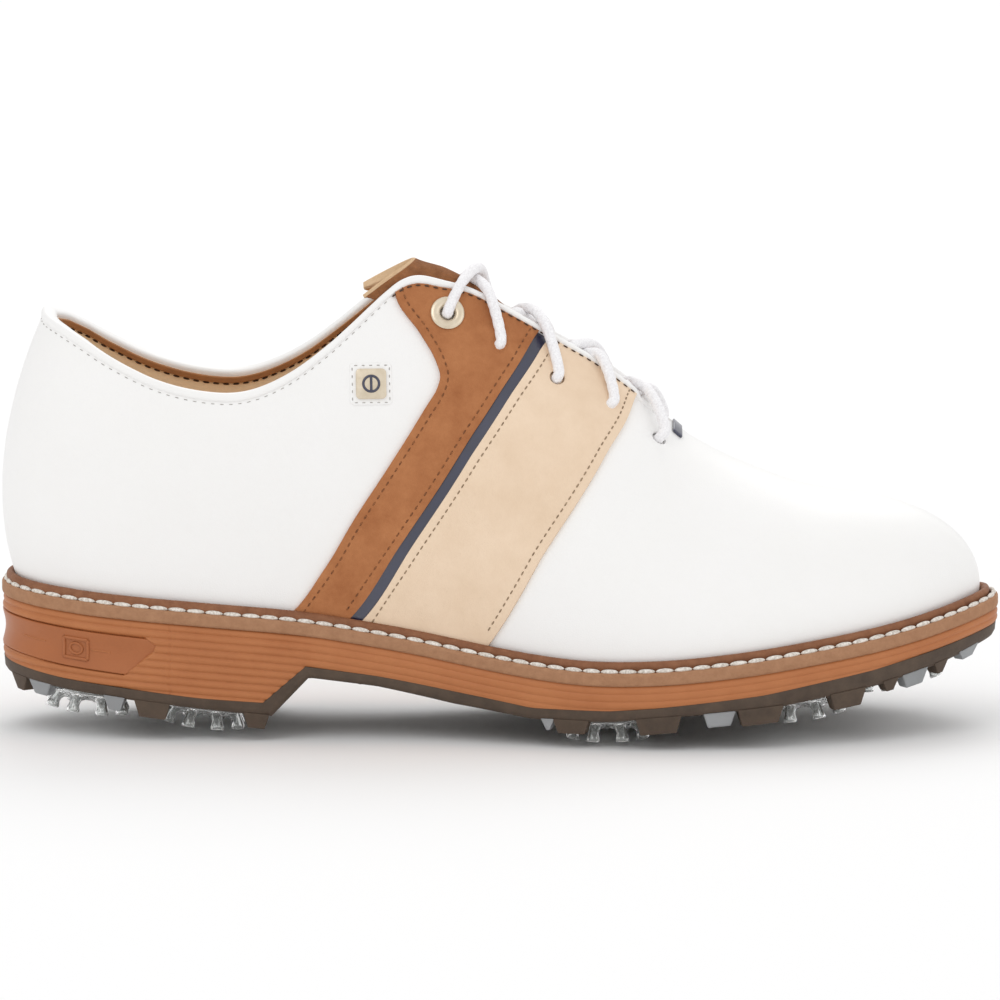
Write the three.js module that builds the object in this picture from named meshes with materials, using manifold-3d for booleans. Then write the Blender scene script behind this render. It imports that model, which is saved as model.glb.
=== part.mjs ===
// Golf shoe for the right foot: a lasted upper with saddle overlays, display lacing, a welted sole
// and twist-lock soft cleats. Millimetres, +Z up, +X to the toe, -Y the lateral (outer) side.
import * as THREE from "three";
import { mergeVertices } from "three/addons/utils/BufferGeometryUtils.js";
import Module from "manifold-3d";

const wasm = await Module();
wasm.setup();

// ---------------------------------------------------------------- driving dimensions
const LENGTH = 300;            // heel to toe over the welt
const GAP = 0.3;               // clearance kept between separate pieces
const WELT_THICKNESS = 4;
const OUTSOLE_EDGE_INSET = 1.5;
const LEATHER = 1.3;           // base shell, outward face on the last surface
const STIFFENER = [-2.6, -2.1];  // counter and toe puff, measured outward from the last surface
const LINING = [-4.3, -3.25];
const OVERLAY = [0.85, 1.85];
const TONGUE_DROP = 13.8;        // outer face of the tongue below the last surface
const TONGUE_THICKNESS = 2.8;
const BINDING_RADIUS = 1.2;
const BINDING_SEAT = 1.5;       // clearance over the cut edges that the binding wraps
const LACE_RADIUS = 1.65;
const HOLE_RADIUS = 2.8;
const LINING_HOLE = 3.8;
const CLEAT_RADIUS = 13;
const CLEAT_DROP = 7.8;        // from the outsole face down to the leg tips
const CLEAT_TWIST_STEM = 4.2;
const HEEL_SEAM = 0.001;       // outline parameter left open between the quarters at the heel
const OVERLAY_FOOT = 0.035;    // rib parameter where the overlays start above the welt
const OVERLAY_REAR_X = 116.5;  // where the saddle and the panel meet the topline
const OVERLAY_FRONT_X = 190.5;
const SEAM_TO_EDGE = 8;        // the vamp seam reaches the facing this far on from its last row
const RIDGE_END = 287;         // the vamp's rows close here, above the toe tip
const HEEL_POWER = 1.4;        // columns crowd towards the heel
const TOE_POWER = 1.4;         // and towards the toe
const COUNTER_REACH = 0.1;     // half widths of the stiffeners, as outline parameters
const PUFF_REACH = 0.08;
const GRIP_SHARE = 0.5;        // the heel grip's width against the counter's
const LATERAL = -1;
const MEDIAL = 1;
const SIDES = { lateral: LATERAL, medial: MEDIAL };

// Plan outline of the welt, heel back first, along the lateral side to the toe and back.
const OUTLINE = [
  [0, 0], [3, -14], [10, -23], [20, -29], [40, -34.5], [66, -36.2], [100, -34.5], [120, -35],
  [140, -39], [160, -46], [182, -52], [204, -54], [225, -52], [245, -46], [264, -38], [282, -26],
  [293, -14], [299, -3], [299, 9], [293, 20], [282, 31], [265, 41], [245, 48], [218, 52],
  [195, 50], [175, 43], [155, 36], [135, 31.5], [115, 30], [95, 31.5], [70, 34.5], [50, 35.5],
  [33, 33.5], [20, 29.5], [10, 23.5], [3, 14],
];

// Heights along the shoe: [x, z].
const WELT_TOP = [
  [0, 43.5], [30, 40.6], [60, 38.2], [90, 35.3], [120, 30.4], [150, 25.2], [175, 22.7], [195, 23],
  [220, 25.2], [245, 28.3], [270, 32.2], [290, 36.5], [300, 38.8],
];
const MIDSOLE_BOTTOM = [
  [0, 20.6], [19, 17.4], [60, 12.5], [79, 11.1], [91.7, 21.9], [113, 19], [136, 14.9], [159, 11.2],
  [182, 11.2], [195, 12.2], [229, 15.9], [262, 21.6], [282, 26.1], [300, 30.4],
];
const OUTSOLE_BOTTOM = [
  [0, 16.6], [19, 14], [40, 11.3], [60, 9], [81.5, 6.7], [92.6, 18.2], [113, 15.6], [136, 10.9],
  [159, 7.6], [182, 7.5], [195, 8.8], [235, 12.1], [262, 16.4], [282, 21.2], [300, 27],
];
// Height of the last's ridge over the foot; behind the throat it closes over the foot opening.
const RIDGE = [
  [38, 160], [66, 158], [100, 152], [118, 147], [130, 141], [140, 136], [152, 128], [165, 119.5],
  [178, 111], [186, 104.5], [198, 94], [204, 88.5], [212, 83.5], [227, 76.5], [242, 71.3],
  [257, 69], [264, 68],
];
const RIDGE_Y = [[38, 0], [150, 0], [200, 1.5], [264, 4]];
// Rib shape along the shoe: [x, wall rise, bulge, crown width].
const RIB_SHAPE = [
  [5, 50, 15.6, 0.45], [35, 53, 8.5, 0.52], [66, 55, 3, 0.6], [110, 49, 4, 0.47],
  [150, 38, 4.5, 0.46], [182, 27, 5, 0.47], [220, 19, 4.5, 0.54], [250, 16.4, 4, 0.62],
  [294, 14, 2.4, 0.74],
];
const FEATHER_INSET = [[0, 5], [60, 5], [180, 6.2], [300, 6.2]];
const SPINE_BACK = 38;
const SPINE_FRONT = 260;

// Outlines on the upper, as seen from the side: [x, z], the same on both sides.
const COLLAR = [
  [20, 121.4], [33, 114], [46, 108], [60, 104.3], [73, 103.7], [86.5, 108.8], [100, 118.5],
  [108, 125.5], [115, 131.7], [120, 135.3], [126, 137],
];
const COLLAR_BACK_Z = 124.4;
// Edge of the facings beside the lacing gap: [x, distance from the centre plane].
const FACING = [
  [131, 7.8], [139, 6.8], [148, 6.4], [158, 6.2], [168, 6.2], [178, 6], [188, 5.6], [196, 5],
];
const THROAT_X = 200;
const SADDLE_REAR = [
  [88.6, 38.7], [97.1, 50.5], [106.1, 65.5], [116.2, 80.8], [126.6, 96.9], [130.8, 103.6],
  [131.9, 107.5], [130.6, 112], [126, 119.8], [118.8, 130],
];
const SADDLE_FRONT = [[105.7, 36.8], [120, 57.9], [135.8, 81.6], [148.9, 101.5], [156.5, 112.5]];
const STRIPE_FRONT = [[109.1, 35.8], [123.5, 57.5], [139, 80.9], [152, 100.5], [159.8, 111.4]];
const PANEL_FRONT = [[148.5, 31.5], [161.8, 54.7], [180.6, 83.6], [187.2, 93.5]];
const VAMP_SEAM = [[126, 30], [142, 55], [160, 84], [168, 95.5], [173, 102]];
const EYELETS = [[133.9, 125.3], [149.5, 116.1], [166.6, 106.2], [182.6, 98.1], [197.5, 88.2]];
const EMBLEM = [111.2, 105.6];

// Cleats on the outsole: [x, y]. Their tilt follows the outsole.
const CLEATS = {
  heel_rear_lateral: [27, -14.8],
  heel_rear_medial: [27, 14.8],
  heel_front_lateral: [61.5, -17],
  heel_front_medial: [61.5, 16],
  ball_lateral: [182, -33],
  ball_medial: [184, 27],
  forefoot_lateral: [240, -27],
  forefoot_medial: [236, 29],
  toe: [269, 2],
};

// ---------------------------------------------------------------- curves
// A smooth table: a cubic through rows [x, values...], its slopes averaged from the neighbours.
function table(rows) {
  const slopes = rows.map((row, i) => row.slice(1).map((value, k) => {
    const before = rows[i - 1];
    const after = rows[i + 1];
    if (!before) return (after[k + 1] - value) / (after[0] - row[0]);
    if (!after) return (value - before[k + 1]) / (row[0] - before[0]);
    const runBefore = row[0] - before[0];
    const runAfter = after[0] - row[0];
    const slopeBefore = (value - before[k + 1]) / runBefore;
    const slopeAfter = (after[k + 1] - value) / runAfter;
    return (slopeBefore * runAfter + slopeAfter * runBefore) / (runBefore + runAfter);
  }));
  return (x) => {
    const last = rows.length - 2;
    const clamped = Math.min(Math.max(x, rows[0][0]), rows[last + 1][0]);
    let i = 0;
    while (i < last && rows[i + 1][0] <= clamped) i += 1;
    const h = rows[i + 1][0] - rows[i][0];
    const t = (clamped - rows[i][0]) / h;
    return rows[i].slice(1).map((value, k) => (
      (2 * t ** 3 - 3 * t * t + 1) * value + (t ** 3 - 2 * t * t + t) * h * slopes[i][k]
      + (3 * t * t - 2 * t ** 3) * rows[i + 1][k + 1] + (t ** 3 - t * t) * h * slopes[i + 1][k]
    ));
  };
}

// Straight lines between the rows of a table, for sharp changes of slope.
function polyline(rows) {
  return (x) => {
    let i = 0;
    while (i < rows.length - 2 && rows[i + 1][0] <= x) i += 1;
    const t = Math.min(Math.max((x - rows[i][0]) / (rows[i + 1][0] - rows[i][0]), 0), 1);
    return rows[i][1] + (rows[i + 1][1] - rows[i][1]) * t;
  };
}

function closedLoop(points) {
  const rows = [];
  let length = 0;
  const n = points.length;
  const lengths = [0];
  for (let i = 0; i < n; i += 1) {
    const [ax, ay] = points[i];
    const [bx, by] = points[(i + 1) % n];
    length += Math.hypot(bx - ax, by - ay);
    lengths.push(length);
  }
  for (let k = -2; k <= n + 2; k += 1) {
    const turn = Math.floor(k / n);
    const i = k - turn * n;
    rows.push([lengths[i] + turn * length, ...points[i]]);
  }
  const curve = table(rows);
  return (u) => curve((u - Math.floor(u)) * length);
}

const outline = closedLoop(OUTLINE);
const weltTable = table(WELT_TOP);
const weltTop = (x) => weltTable(x)[0];
const midsoleBottom = polyline(MIDSOLE_BOTTOM);
const outsoleBottom = polyline(OUTSOLE_BOTTOM);
const ridgeTable = table(RIDGE);
const ridgeYTable = table(RIDGE_Y);
const ridgeYOf = (x) => ridgeYTable(x)[0];
const ribTable = table(RIB_SHAPE);
const insetTable = table(FEATHER_INSET);

// A point of the plan outline moved inward by a distance.
function planPoint(u, inset) {
  const step = 1e-4;
  const [ax, ay] = outline(u - step);
  const [bx, by] = outline(u + step);
  const [x, y] = outline(u);
  const size = Math.hypot(bx - ax, by - ay);
  return [x - ((by - ay) / size) * inset, y + ((bx - ax) / size) * inset];
}

function featherPoint(u) {
  return planPoint(u, insetTable(outline(u)[0])[0]);
}

// Place on the outline of one side where the featherline reaches a given x.
function outlineAt(side, x) {
  let low = side === LATERAL ? 0 : 1;
  let high = TOE_U;
  for (let i = 0; i < 40; i += 1) {
    const middle = (low + high) / 2;
    if (featherPoint(middle)[0] < x) low = middle;
    else high = middle;
  }
  return (low + high) / 2;
}

// The outline parameter at the very tip of the toe.
function findToe() {
  let best = 0.5;
  for (let u = 0.45; u < 0.56; u += 0.0005) {
    if (featherPoint(u)[0] > featherPoint(best)[0]) best = u;
  }
  return best;
}
const TOE_U = findToe();

// ---------------------------------------------------------------- surface of the lasted upper
const smoothMax = (a, b, k) => 0.5 * (a + b + Math.sqrt((a - b) ** 2 + k * k));
const smoothMin = (a, b, k) => 0.5 * (a + b - Math.sqrt((a - b) ** 2 + k * k));

// u runs round the featherline, v climbs a rib from the featherline to the ridge.
function upper(u, v) {
  const [fx, fy] = featherPoint(u);
  const c = smoothMin(smoothMax(fx, SPINE_BACK, 16), SPINE_FRONT, 12);
  const cy = ridgeYOf(c);
  const reach = Math.hypot(fx - c, fy - cy);
  const dx = (fx - c) / reach;
  const dy = (fy - cy) / reach;
  const bottom = weltTop(fx) + GAP;
  const top = ridgeTable(c)[0];
  const slope = (ridgeTable(c + 0.5)[0] - ridgeTable(c - 0.5)[0]) * dx;
  const [rise, bulge, crown] = ribTable(fx);
  const s = 1 - v;
  const out = s ** 3 * reach + 3 * s * s * v * (reach + bulge) + 3 * s * v * v * crown * reach;
  const z = s ** 3 * bottom + 3 * s * s * v * (bottom + rise)
    + 3 * s * v * v * (top + slope * crown * reach) + v ** 3 * top;
  return new THREE.Vector3(c + dx * out, cy + dy * out, z);
}

// Find [u, v] on one side where x and a second coordinate (axis 1 or 2) have given values.
function locate(x, value, axis, side) {
  const error = (u, v) => {
    const p = upper(u, v);
    return [p.x - x, (axis === 2 ? p.z : p.y) - value];
  };
  let best = [Infinity, 0, 0];
  for (let i = 1; i < 40; i += 1) {
    const u = side === LATERAL ? (TOE_U * i) / 40 : 1 - ((1 - TOE_U) * i) / 40;
    for (let v = 0.02; v < 1; v += 0.04) {
      const [ex, ey] = error(u, v);
      const miss = ex * ex + ey * ey;
      if (miss < best[0]) best = [miss, u, v];
    }
  }
  let [, u, v] = best;
  const step = 1e-5;
  for (let i = 0; i < 12; i += 1) {
    const [ex, ey] = error(u, v);
    const [ux, uy] = error(u + step, v);
    const [vx, vy] = error(u, v + step);
    const a = (ux - ex) / step;
    const b = (vx - ex) / step;
    const c = (uy - ey) / step;
    const d = (vy - ey) / step;
    const det = a * d - b * c;
    u -= Math.max(Math.min((d * ex - b * ey) / det, 0.02), -0.02);
    v -= Math.max(Math.min((a * ey - c * ex) / det, 0.05), -0.05);
  }
  return [u, Math.min(Math.max(v, 0), 1)];
}

function outward(u, v) {
  const step = 1e-3;
  const du = upper(u + step, v).sub(upper(u - step, v));
  const dv = upper(u, Math.min(v + step, 1)).sub(upper(u, Math.max(v - step, 0)));
  return du.cross(dv).normalize();
}

// ---------------------------------------------------------------- sheets and solids
const lerp2 = (a, b, t) => [a[0] + (b[0] - a[0]) * t, a[1] + (b[1] - a[1]) * t];

// Spread n + 1 points along a list of [u, v] points, closer at the start where power > 1.
function resample(points, n, power = 1) {
  const lengths = [0];
  for (let i = 1; i < points.length; i += 1) {
    const gap = upper(...points[i]).distanceTo(upper(...points[i - 1]));
    lengths.push(lengths[i - 1] + gap);
  }
  const total = lengths[lengths.length - 1];
  const result = [];
  for (let k = 0; k <= n; k += 1) {
    const want = total * (k / n) ** power;
    let i = 1;
    while (i < points.length - 1 && lengths[i] < want) i += 1;
    const t = (want - lengths[i - 1]) / Math.max(lengths[i] - lengths[i - 1], 1e-9);
    result.push(lerp2(points[i - 1], points[i], Math.min(t, 1)));
  }
  return result;
}

// Fill a four-sided outline of [u, v] points with a grid of places on the surface.
function patch(left, right, bottom, top) {
  const columns = bottom.length - 1;
  const rows = left.length - 1;
  const grid = [];
  for (let i = 0; i <= columns; i += 1) {
    const s = i / columns;
    const column = [];
    for (let j = 0; j <= rows; j += 1) {
      const t = j / rows;
      const across = lerp2(left[j], right[j], s);
      const up = lerp2(bottom[i], top[i], t);
      const corner = lerp2(lerp2(left[0], right[0], s), lerp2(left[rows], right[rows], s), t);
      column.push([across[0] + up[0] - corner[0], across[1] + up[1] - corner[1]]);
    }
    grid.push(column);
  }
  return grid;
}

function triangleNormal(points, [a, b, c]) {
  return points[b].clone().sub(points[a]).cross(points[c].clone().sub(points[a]));
}

// Turn the triangles of one grid so that their normals leave the foot.
function turnedOutward(points, faces) {
  let sum = 0;
  for (const face of faces) {
    const point = points[face[0]];
    const hub = new THREE.Vector3(point.x * 0.9 + 15, 0, 30);
    sum += triangleNormal(points, face).dot(point.clone().sub(hub));
  }
  return sum > 0 ? faces : faces.map(([a, b, c]) => [a, c, b]);
}

// A sheet is a list of welded points, their outward normals and its triangles.
function sheetFrom(grids) {
  const points = [];
  const triangles = [];
  const seen = new Map();
  const add = (point) => {
    const key = [point.x, point.y, point.z].map((value) => Math.round(value * 50)).join();
    if (!seen.has(key)) {
      seen.set(key, points.length);
      points.push(point);
    }
    return seen.get(key);
  };
  for (const grid of grids) {
    const ids = grid.map((column) => column.map((place) => (
      add(place.isVector3 ? place : upper(...place))
    )));
    const faces = [];
    for (let i = 0; i + 1 < ids.length; i += 1) {
      for (let j = 0; j + 1 < ids[i].length; j += 1) {
        const [a, b, c, d] = [ids[i][j], ids[i + 1][j], ids[i + 1][j + 1], ids[i][j + 1]];
        for (const triangle of [[a, b, c], [a, c, d]]) {
          if (new Set(triangle).size === 3) faces.push(triangle);
        }
      }
    }
    triangles.push(...turnedOutward(points, faces));
  }
  const normals = points.map(() => new THREE.Vector3());
  for (const triangle of triangles) {
    const normal = triangleNormal(points, triangle);
    for (const id of triangle) normals[id].add(normal);
  }
  normals.forEach((normal) => normal.normalize());
  return { points, normals, triangles };
}

// Give a sheet thickness between two offsets along its normals.
function thicken(sheet, inner, outer) {
  const n = sheet.points.length;
  const offset = (value, i) => (typeof value === "function" ? value(sheet.points[i]) : value);
  const positions = [];
  for (const level of [outer, inner]) {
    sheet.points.forEach((point, i) => {
      const moved = point.clone().addScaledVector(sheet.normals[i], offset(level, i));
      positions.push(moved.x, moved.y, moved.z);
    });
  }
  const index = [];
  const edges = new Map();
  for (const [a, b, c] of sheet.triangles) {
    index.push(a, b, c, a + n, c + n, b + n);
    for (const [p, q] of [[a, b], [b, c], [c, a]]) {
      if (edges.has(`${q},${p}`)) edges.delete(`${q},${p}`);
      else edges.set(`${p},${q}`, [p, q]);
    }
  }
  for (const [p, q] of edges.values()) index.push(q, p, p + n, q, p + n, q + n);
  return geometryFrom(positions, index);
}

function geometryFrom(positions, index) {
  const geometry = new THREE.BufferGeometry();
  geometry.setAttribute("position", new THREE.Float32BufferAttribute(positions, 3));
  geometry.setIndex(index);
  return geometry;
}

const solidSheet = (grids, inner, outer) => thicken(sheetFrom(grids), inner, outer);

function toManifold(geometry) {
  const bare = geometry.clone();
  bare.deleteAttribute("normal");
  bare.deleteAttribute("uv");
  const merged = mergeVertices(bare, 1e-4);
  const triVerts = Uint32Array.from(merged.index.array);
  const vertProperties = Float32Array.from(merged.attributes.position.array);
  return new wasm.Manifold(new wasm.Mesh({ numProp: 3, vertProperties, triVerts }));
}

function fromManifold(solid) {
  const { vertProperties, triVerts } = solid.getMesh();
  return geometryFrom(Array.from(vertProperties), Array.from(triVerts));
}

function cut(geometry, tools) {
  let solid = toManifold(geometry);
  for (const tool of tools) solid = solid.subtract(toManifold(tool));
  return fromManifold(solid);
}

function join(geometries) {
  let solid = toManifold(geometries[0]);
  for (const part of geometries.slice(1)) solid = solid.add(toManifold(part));
  return fromManifold(solid);
}

// A cylinder on an axis, from one height to another along it.
function cylinder(centre, axis, radius, from, to, sides, topRadius = radius) {
  const geometry = new THREE.CylinderGeometry(topRadius, radius, to - from, sides);
  geometry.translate(0, (from + to) / 2, 0);
  const turn = new THREE.Quaternion().setFromUnitVectors(new THREE.Vector3(0, 1, 0), axis);
  geometry.applyQuaternion(turn);
  geometry.translate(centre.x, centre.y, centre.z);
  return geometry;
}

function tube(points, radius, steps, sides) {
  const path = new THREE.CatmullRomCurve3(points, false, "centripetal");
  const section = new THREE.Shape();
  for (let i = 0; i < sides; i += 1) {
    const angle = (2 * Math.PI * i) / sides;
    if (i === 0) section.moveTo(radius, 0);
    else section.lineTo(radius * Math.cos(angle), radius * Math.sin(angle));
  }
  section.closePath();
  return new THREE.ExtrudeGeometry(section, { steps, extrudePath: path, curveSegments: 1 });
}

// ---------------------------------------------------------------- outlines on the upper
const edgeOn = (side, rows) => rows.map(([x, z]) => locate(x, z, 2, side));
const facingEdge = (side, rows, extra) => rows.map(([x, y]) => (
  locate(x, ridgeYOf(x) + side * (y + extra), 1, side)
));
const heelU = (side) => (side === LATERAL ? 0 : 1);

// Top edge of the opening from the heel centre to the throat, lowered by a margin.
function rim(side, margin) {
  let v = 0.5;
  for (let i = 0; i < 20; i += 1) {
    v += (COLLAR_BACK_Z - margin - upper(heelU(side), v).z) * 0.005;
  }
  const collar = edgeOn(side, COLLAR.map(([x, z]) => [x, z - margin]));
  const front = facingEdge(side, FACING, margin * 0.8);
  return [[heelU(side), v], ...collar, ...front];
}

// The part of a list of places with x between two values, with exact ends by interpolation.
function between(points, from, to) {
  const at = (x) => {
    for (let i = 1; i < points.length; i += 1) {
      const a = upper(...points[i - 1]).x;
      const b = upper(...points[i]).x;
      if (a <= x && x <= b) return lerp2(points[i - 1], points[i], (x - a) / (b - a));
    }
    return points[points.length - 1];
  };
  const inside = points.filter((place, i) => {
    const { x } = upper(...place);
    return i > 0 && x > from + 0.5 && x < to - 0.5;
  });
  return [from === null ? points[0] : at(from), ...inside, at(to)];
}

const footOf = (place, v) => [place[0], v];

// A patch between two edges drawn from bottom to top, under a given top edge.
function band(rear, front, top, columns, rows) {
  const low = [footOf(rear[0], OVERLAY_FOOT), footOf(front[0], OVERLAY_FOOT)];
  return patch(
    resample([low[0], ...rear.slice(1)], rows),
    resample([low[1], ...front.slice(1)], rows),
    resample(low, columns),
    resample(top, columns),
  );
}

const MARGIN = 2 * BINDING_RADIUS + BINDING_SEAT;
const RIMS = {};
const RIMS_LOW = {};
for (const [name, side] of Object.entries(SIDES)) {
  RIMS[name] = rim(side, 0);
  RIMS_LOW[name] = rim(side, MARGIN);
}

// Quarter: heel seam to vamp seam, featherline to collar.
function quarterGrid(name, seamShift, columns, rows) {
  const side = SIDES[name];
  const seam = edgeOn(side, VAMP_SEAM.map(([x, z]) => [x + seamShift, z]));
  const top = RIMS_LOW[name];
  const topEdge = between(top, null, upper(...seam[seam.length - 1]).x + SEAM_TO_EDGE);
  const end = topEdge[topEdge.length - 1];
  const start = [heelU(side) - side * HEEL_SEAM, 0];
  const first = [start[0], top[0][1]];
  const low = [start, footOf(lerp2(start, seam[0], 0.5), 0), footOf(seam[0], 0)];
  return patch(
    resample([start, first], rows),
    resample([footOf(seam[0], 0), ...seam, end], rows),
    resample(low, columns, HEEL_POWER),
    resample([first, ...topEdge.slice(1)], columns, HEEL_POWER),
  );
}

// Vamp half: vamp seam to the toe tip, featherline to the facing edge and then the ridge.
function vampGrid(name, seamShift, columns, rows) {
  const side = SIDES[name];
  const seam = edgeOn(side, VAMP_SEAM.map(([x, z]) => [x + seamShift, z]));
  const top = RIMS_LOW[name];
  const startX = upper(...seam[seam.length - 1]).x + SEAM_TO_EDGE;
  const edge = between(top, startX, upper(...top[top.length - 1]).x);
  const edgeColumns = 3;
  const ridge = [];
  const ridgeColumns = columns - edgeColumns - 1;
  for (let i = 0; i <= ridgeColumns; i += 1) {
    const x = THROAT_X + 4 + (RIDGE_END - THROAT_X - 4) * (i / ridgeColumns) ** 0.8;
    ridge.push([i === ridgeColumns ? TOE_U : outlineAt(side, x), 1]);
  }
  const low = [];
  for (let i = 0; i <= columns; i += 1) {
    low.push([seam[0][0] + (TOE_U - seam[0][0]) * (1 - (1 - i / columns) ** TOE_POWER), 0]);
  }
  const toe = [];
  for (let j = 0; j <= rows; j += 1) toe.push([TOE_U, j / rows]);
  return patch(
    resample([footOf(seam[0], 0), ...seam, edge[0]], rows),
    toe,
    low,
    [...resample(edge, edgeColumns), ...ridge],
  );
}

// ---------------------------------------------------------------- pieces
const group = new THREE.Group();

const MATERIALS = {
  white: { color: 0xf7f5f2, roughness: 0.45, metalness: 0 },
  tan: { color: 0xb57b52, roughness: 0.5, metalness: 0 },
  beige: { color: 0xe6cfb4, roughness: 0.5, metalness: 0 },
  navy: { color: 0x1e2146, roughness: 0.25, metalness: 0 },
  lining: { color: 0xe1b78f, roughness: 0.7, metalness: 0 },
  suede: { color: 0xc79a70, roughness: 0.95, metalness: 0 },
  brown: { color: 0x9d6b44, roughness: 0.6, metalness: 0 },
  welt: { color: 0xa87454, roughness: 0.55, metalness: 0 },
  thread: { color: 0xf0ece4, roughness: 0.8, metalness: 0 },
  stack: { color: 0xab7149, roughness: 0.55, metalness: 0 },
  outsole: { color: 0x615248, roughness: 0.6, metalness: 0 },
  clear: { color: 0xb7b6b5, roughness: 0.2, metalness: 0 },
  metal: { color: 0xe6d9c4, roughness: 0.3, metalness: 0.9 },
  steel: { color: 0x8d9196, roughness: 0.4, metalness: 0.9 },
  board: { color: 0xb9a184, roughness: 0.9, metalness: 0 },
  cork: { color: 0xa9794b, roughness: 0.95, metalness: 0 },
};

function addPiece(name, geometry, material) {
  const mesh = new THREE.Mesh(geometry, new THREE.MeshStandardMaterial(MATERIALS[material]));
  mesh.name = name;
  group.add(mesh);
  return mesh;
}

function eyeletHoles(side, radius) {
  return EYELETS.map(([x, z]) => {
    const place = locate(x, z, 2, side);
    return cylinder(upper(...place), outward(...place), radius, -9, 6, 8);
  });
}

function addUpper() {
  const holes = {};
  for (const [name, side] of Object.entries(SIDES)) holes[name] = eyeletHoles(side, HOLE_RADIUS);
  for (const name of Object.keys(SIDES)) {
    const quarter = solidSheet([quarterGrid(name, 0, 18, 6)], -LEATHER, 0);
    addPiece(`quarter_${name}`, cut(quarter, holes[name]), "white");
  }
  const allHoles = [...holes.lateral, ...holes.medial];
  const vamp = [vampGrid("lateral", 0.5, 16, 6), vampGrid("medial", 0.5, 16, 6)];
  addPiece("vamp", cut(solidSheet(vamp, -LEATHER, 0), allHoles), "white");
  addLinings([...eyeletHoles(LATERAL, LINING_HOLE), ...eyeletHoles(MEDIAL, LINING_HOLE)]);
  addStiffeners();
  addOverlays(holes);
}

function addLinings(allHoles) {
  const quarters = Object.keys(SIDES).map((name) => {
    const grid = quarterGrid(name, 0, 18, 5);
    grid[0] = grid[0].map(([u, v]) => [Math.abs(u) < 2 * HEEL_SEAM ? 0 : 1, v]);
    return grid;
  });
  addPiece("quarter_lining", cut(solidSheet(quarters, ...LINING), allHoles), "lining");
  const vamps = Object.keys(SIDES).map((name) => vampGrid(name, 0.6, 16, 5));
  addPiece("vamp_lining", cut(solidSheet(vamps, ...LINING), allHoles), "lining");
}

// Heel counter and toe puff lie between the shell and the lining.
function addStiffeners() {
  const columns = 18;
  const rows = 3;
  const counter = [];
  const grip = [];
  for (let i = 0; i <= columns; i += 1) {
    const share = (i / columns) * 2 - 1;
    const u = share * COUNTER_REACH;
    counter.push(ribColumn(u, 0.01, 0.33 - 0.14 * share ** 2, rows));
    grip.push(ribColumn(u * GRIP_SHARE, 0.12, 0.44, rows));
  }
  addPiece("heel_counter", solidSheet([counter], ...STIFFENER), "board");
  addPiece("heel_grip", solidSheet([grip], LINING[0] - 1.6, LINING[0] - 0.7), "suede");
  const puff = [];
  for (let i = 0; i <= columns; i += 1) {
    puff.push(ribColumn(TOE_U + ((i / columns) * 2 - 1) * PUFF_REACH, 0.01, 0.36, rows));
  }
  addPiece("toe_puff", solidSheet([puff], ...STIFFENER), "board");
}

function ribColumn(u, from, to, rows) {
  const column = [];
  for (let j = 0; j <= rows; j += 1) column.push([u, from + ((to - from) * j) / rows]);
  return column;
}

function addOverlays(holes) {
  const topOf = (name, from, to) => between(RIMS[name], from, to);
  const endX = (rows) => rows[rows.length - 1][0] + 5;
  const withTop = (side, rows, top) => [...edgeOn(side, rows), top];
  const shift = (rows, dx) => rows.map(([x, z]) => [x + dx, z]);
  for (const [name, side] of Object.entries(SIDES)) {
    const saddleTop = topOf(name, OVERLAY_REAR_X, endX(SADDLE_FRONT));
    const stripeTop = topOf(name, endX(SADDLE_FRONT) + GAP, endX(STRIPE_FRONT));
    const panelTop = topOf(name, endX(STRIPE_FRONT) + GAP, OVERLAY_FRONT_X);
    const rear = withTop(side, SADDLE_REAR, saddleTop[0]);
    const front = withTop(side, SADDLE_FRONT, saddleTop[saddleTop.length - 1]);
    const stripeRear = withTop(side, shift(SADDLE_FRONT, GAP), stripeTop[0]);
    const stripeFront = withTop(side, STRIPE_FRONT, stripeTop[stripeTop.length - 1]);
    const panelRear = withTop(side, shift(STRIPE_FRONT, GAP), panelTop[0]);
    const panelFront = withTop(side, PANEL_FRONT, panelTop[panelTop.length - 1]);
    const saddle = solidSheet([band(rear, front, saddleTop, 4, 9)], ...OVERLAY);
    addPiece(`saddle_${name}`, cut(saddle, holes[name]), "tan");
    const stripe = band(stripeRear, stripeFront, stripeTop, 1, 9);
    addPiece(`stripe_${name}`, solidSheet([stripe], OVERLAY[0], OVERLAY[1] - 0.5), "navy");
    const panel = band(panelRear, panelFront, panelTop, 5, 8);
    addPiece(`panel_${name}`, cut(solidSheet([panel], ...OVERLAY), holes[name]), "beige");
  }
}

// Folded binding along the whole edge of the opening.
function addBinding() {
  const along = (name) => resample(RIMS_LOW[name], 26).map((place) => {
    const point = upper(...place);
    const up = upper(place[0], Math.min(place[1] + 0.01, 1)).sub(upper(place[0], place[1] - 0.01));
    point.addScaledVector(outward(...place), -LEATHER - 0.7);
    return point.addScaledVector(up.normalize(), BINDING_RADIUS + BINDING_SEAT);
  });
  const path = [...along("lateral").reverse(), ...along("medial").slice(1)];
  addPiece("topline_binding", tube(path, BINDING_RADIUS, 64, 6), "white");
}

// ---------------------------------------------------------------- tongue
const TONGUE_BACK = 119;
const TONGUE_FRONT = 208;
const TONGUE_SWELL = 7;      // the free end rises between the facings

// Across the foot the tongue is an arch: its crown lies under the ridge, its edges deep inside.
const EDGE_DROP = 11.5;
const ARCH_ANGLE = 0.6;

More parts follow.
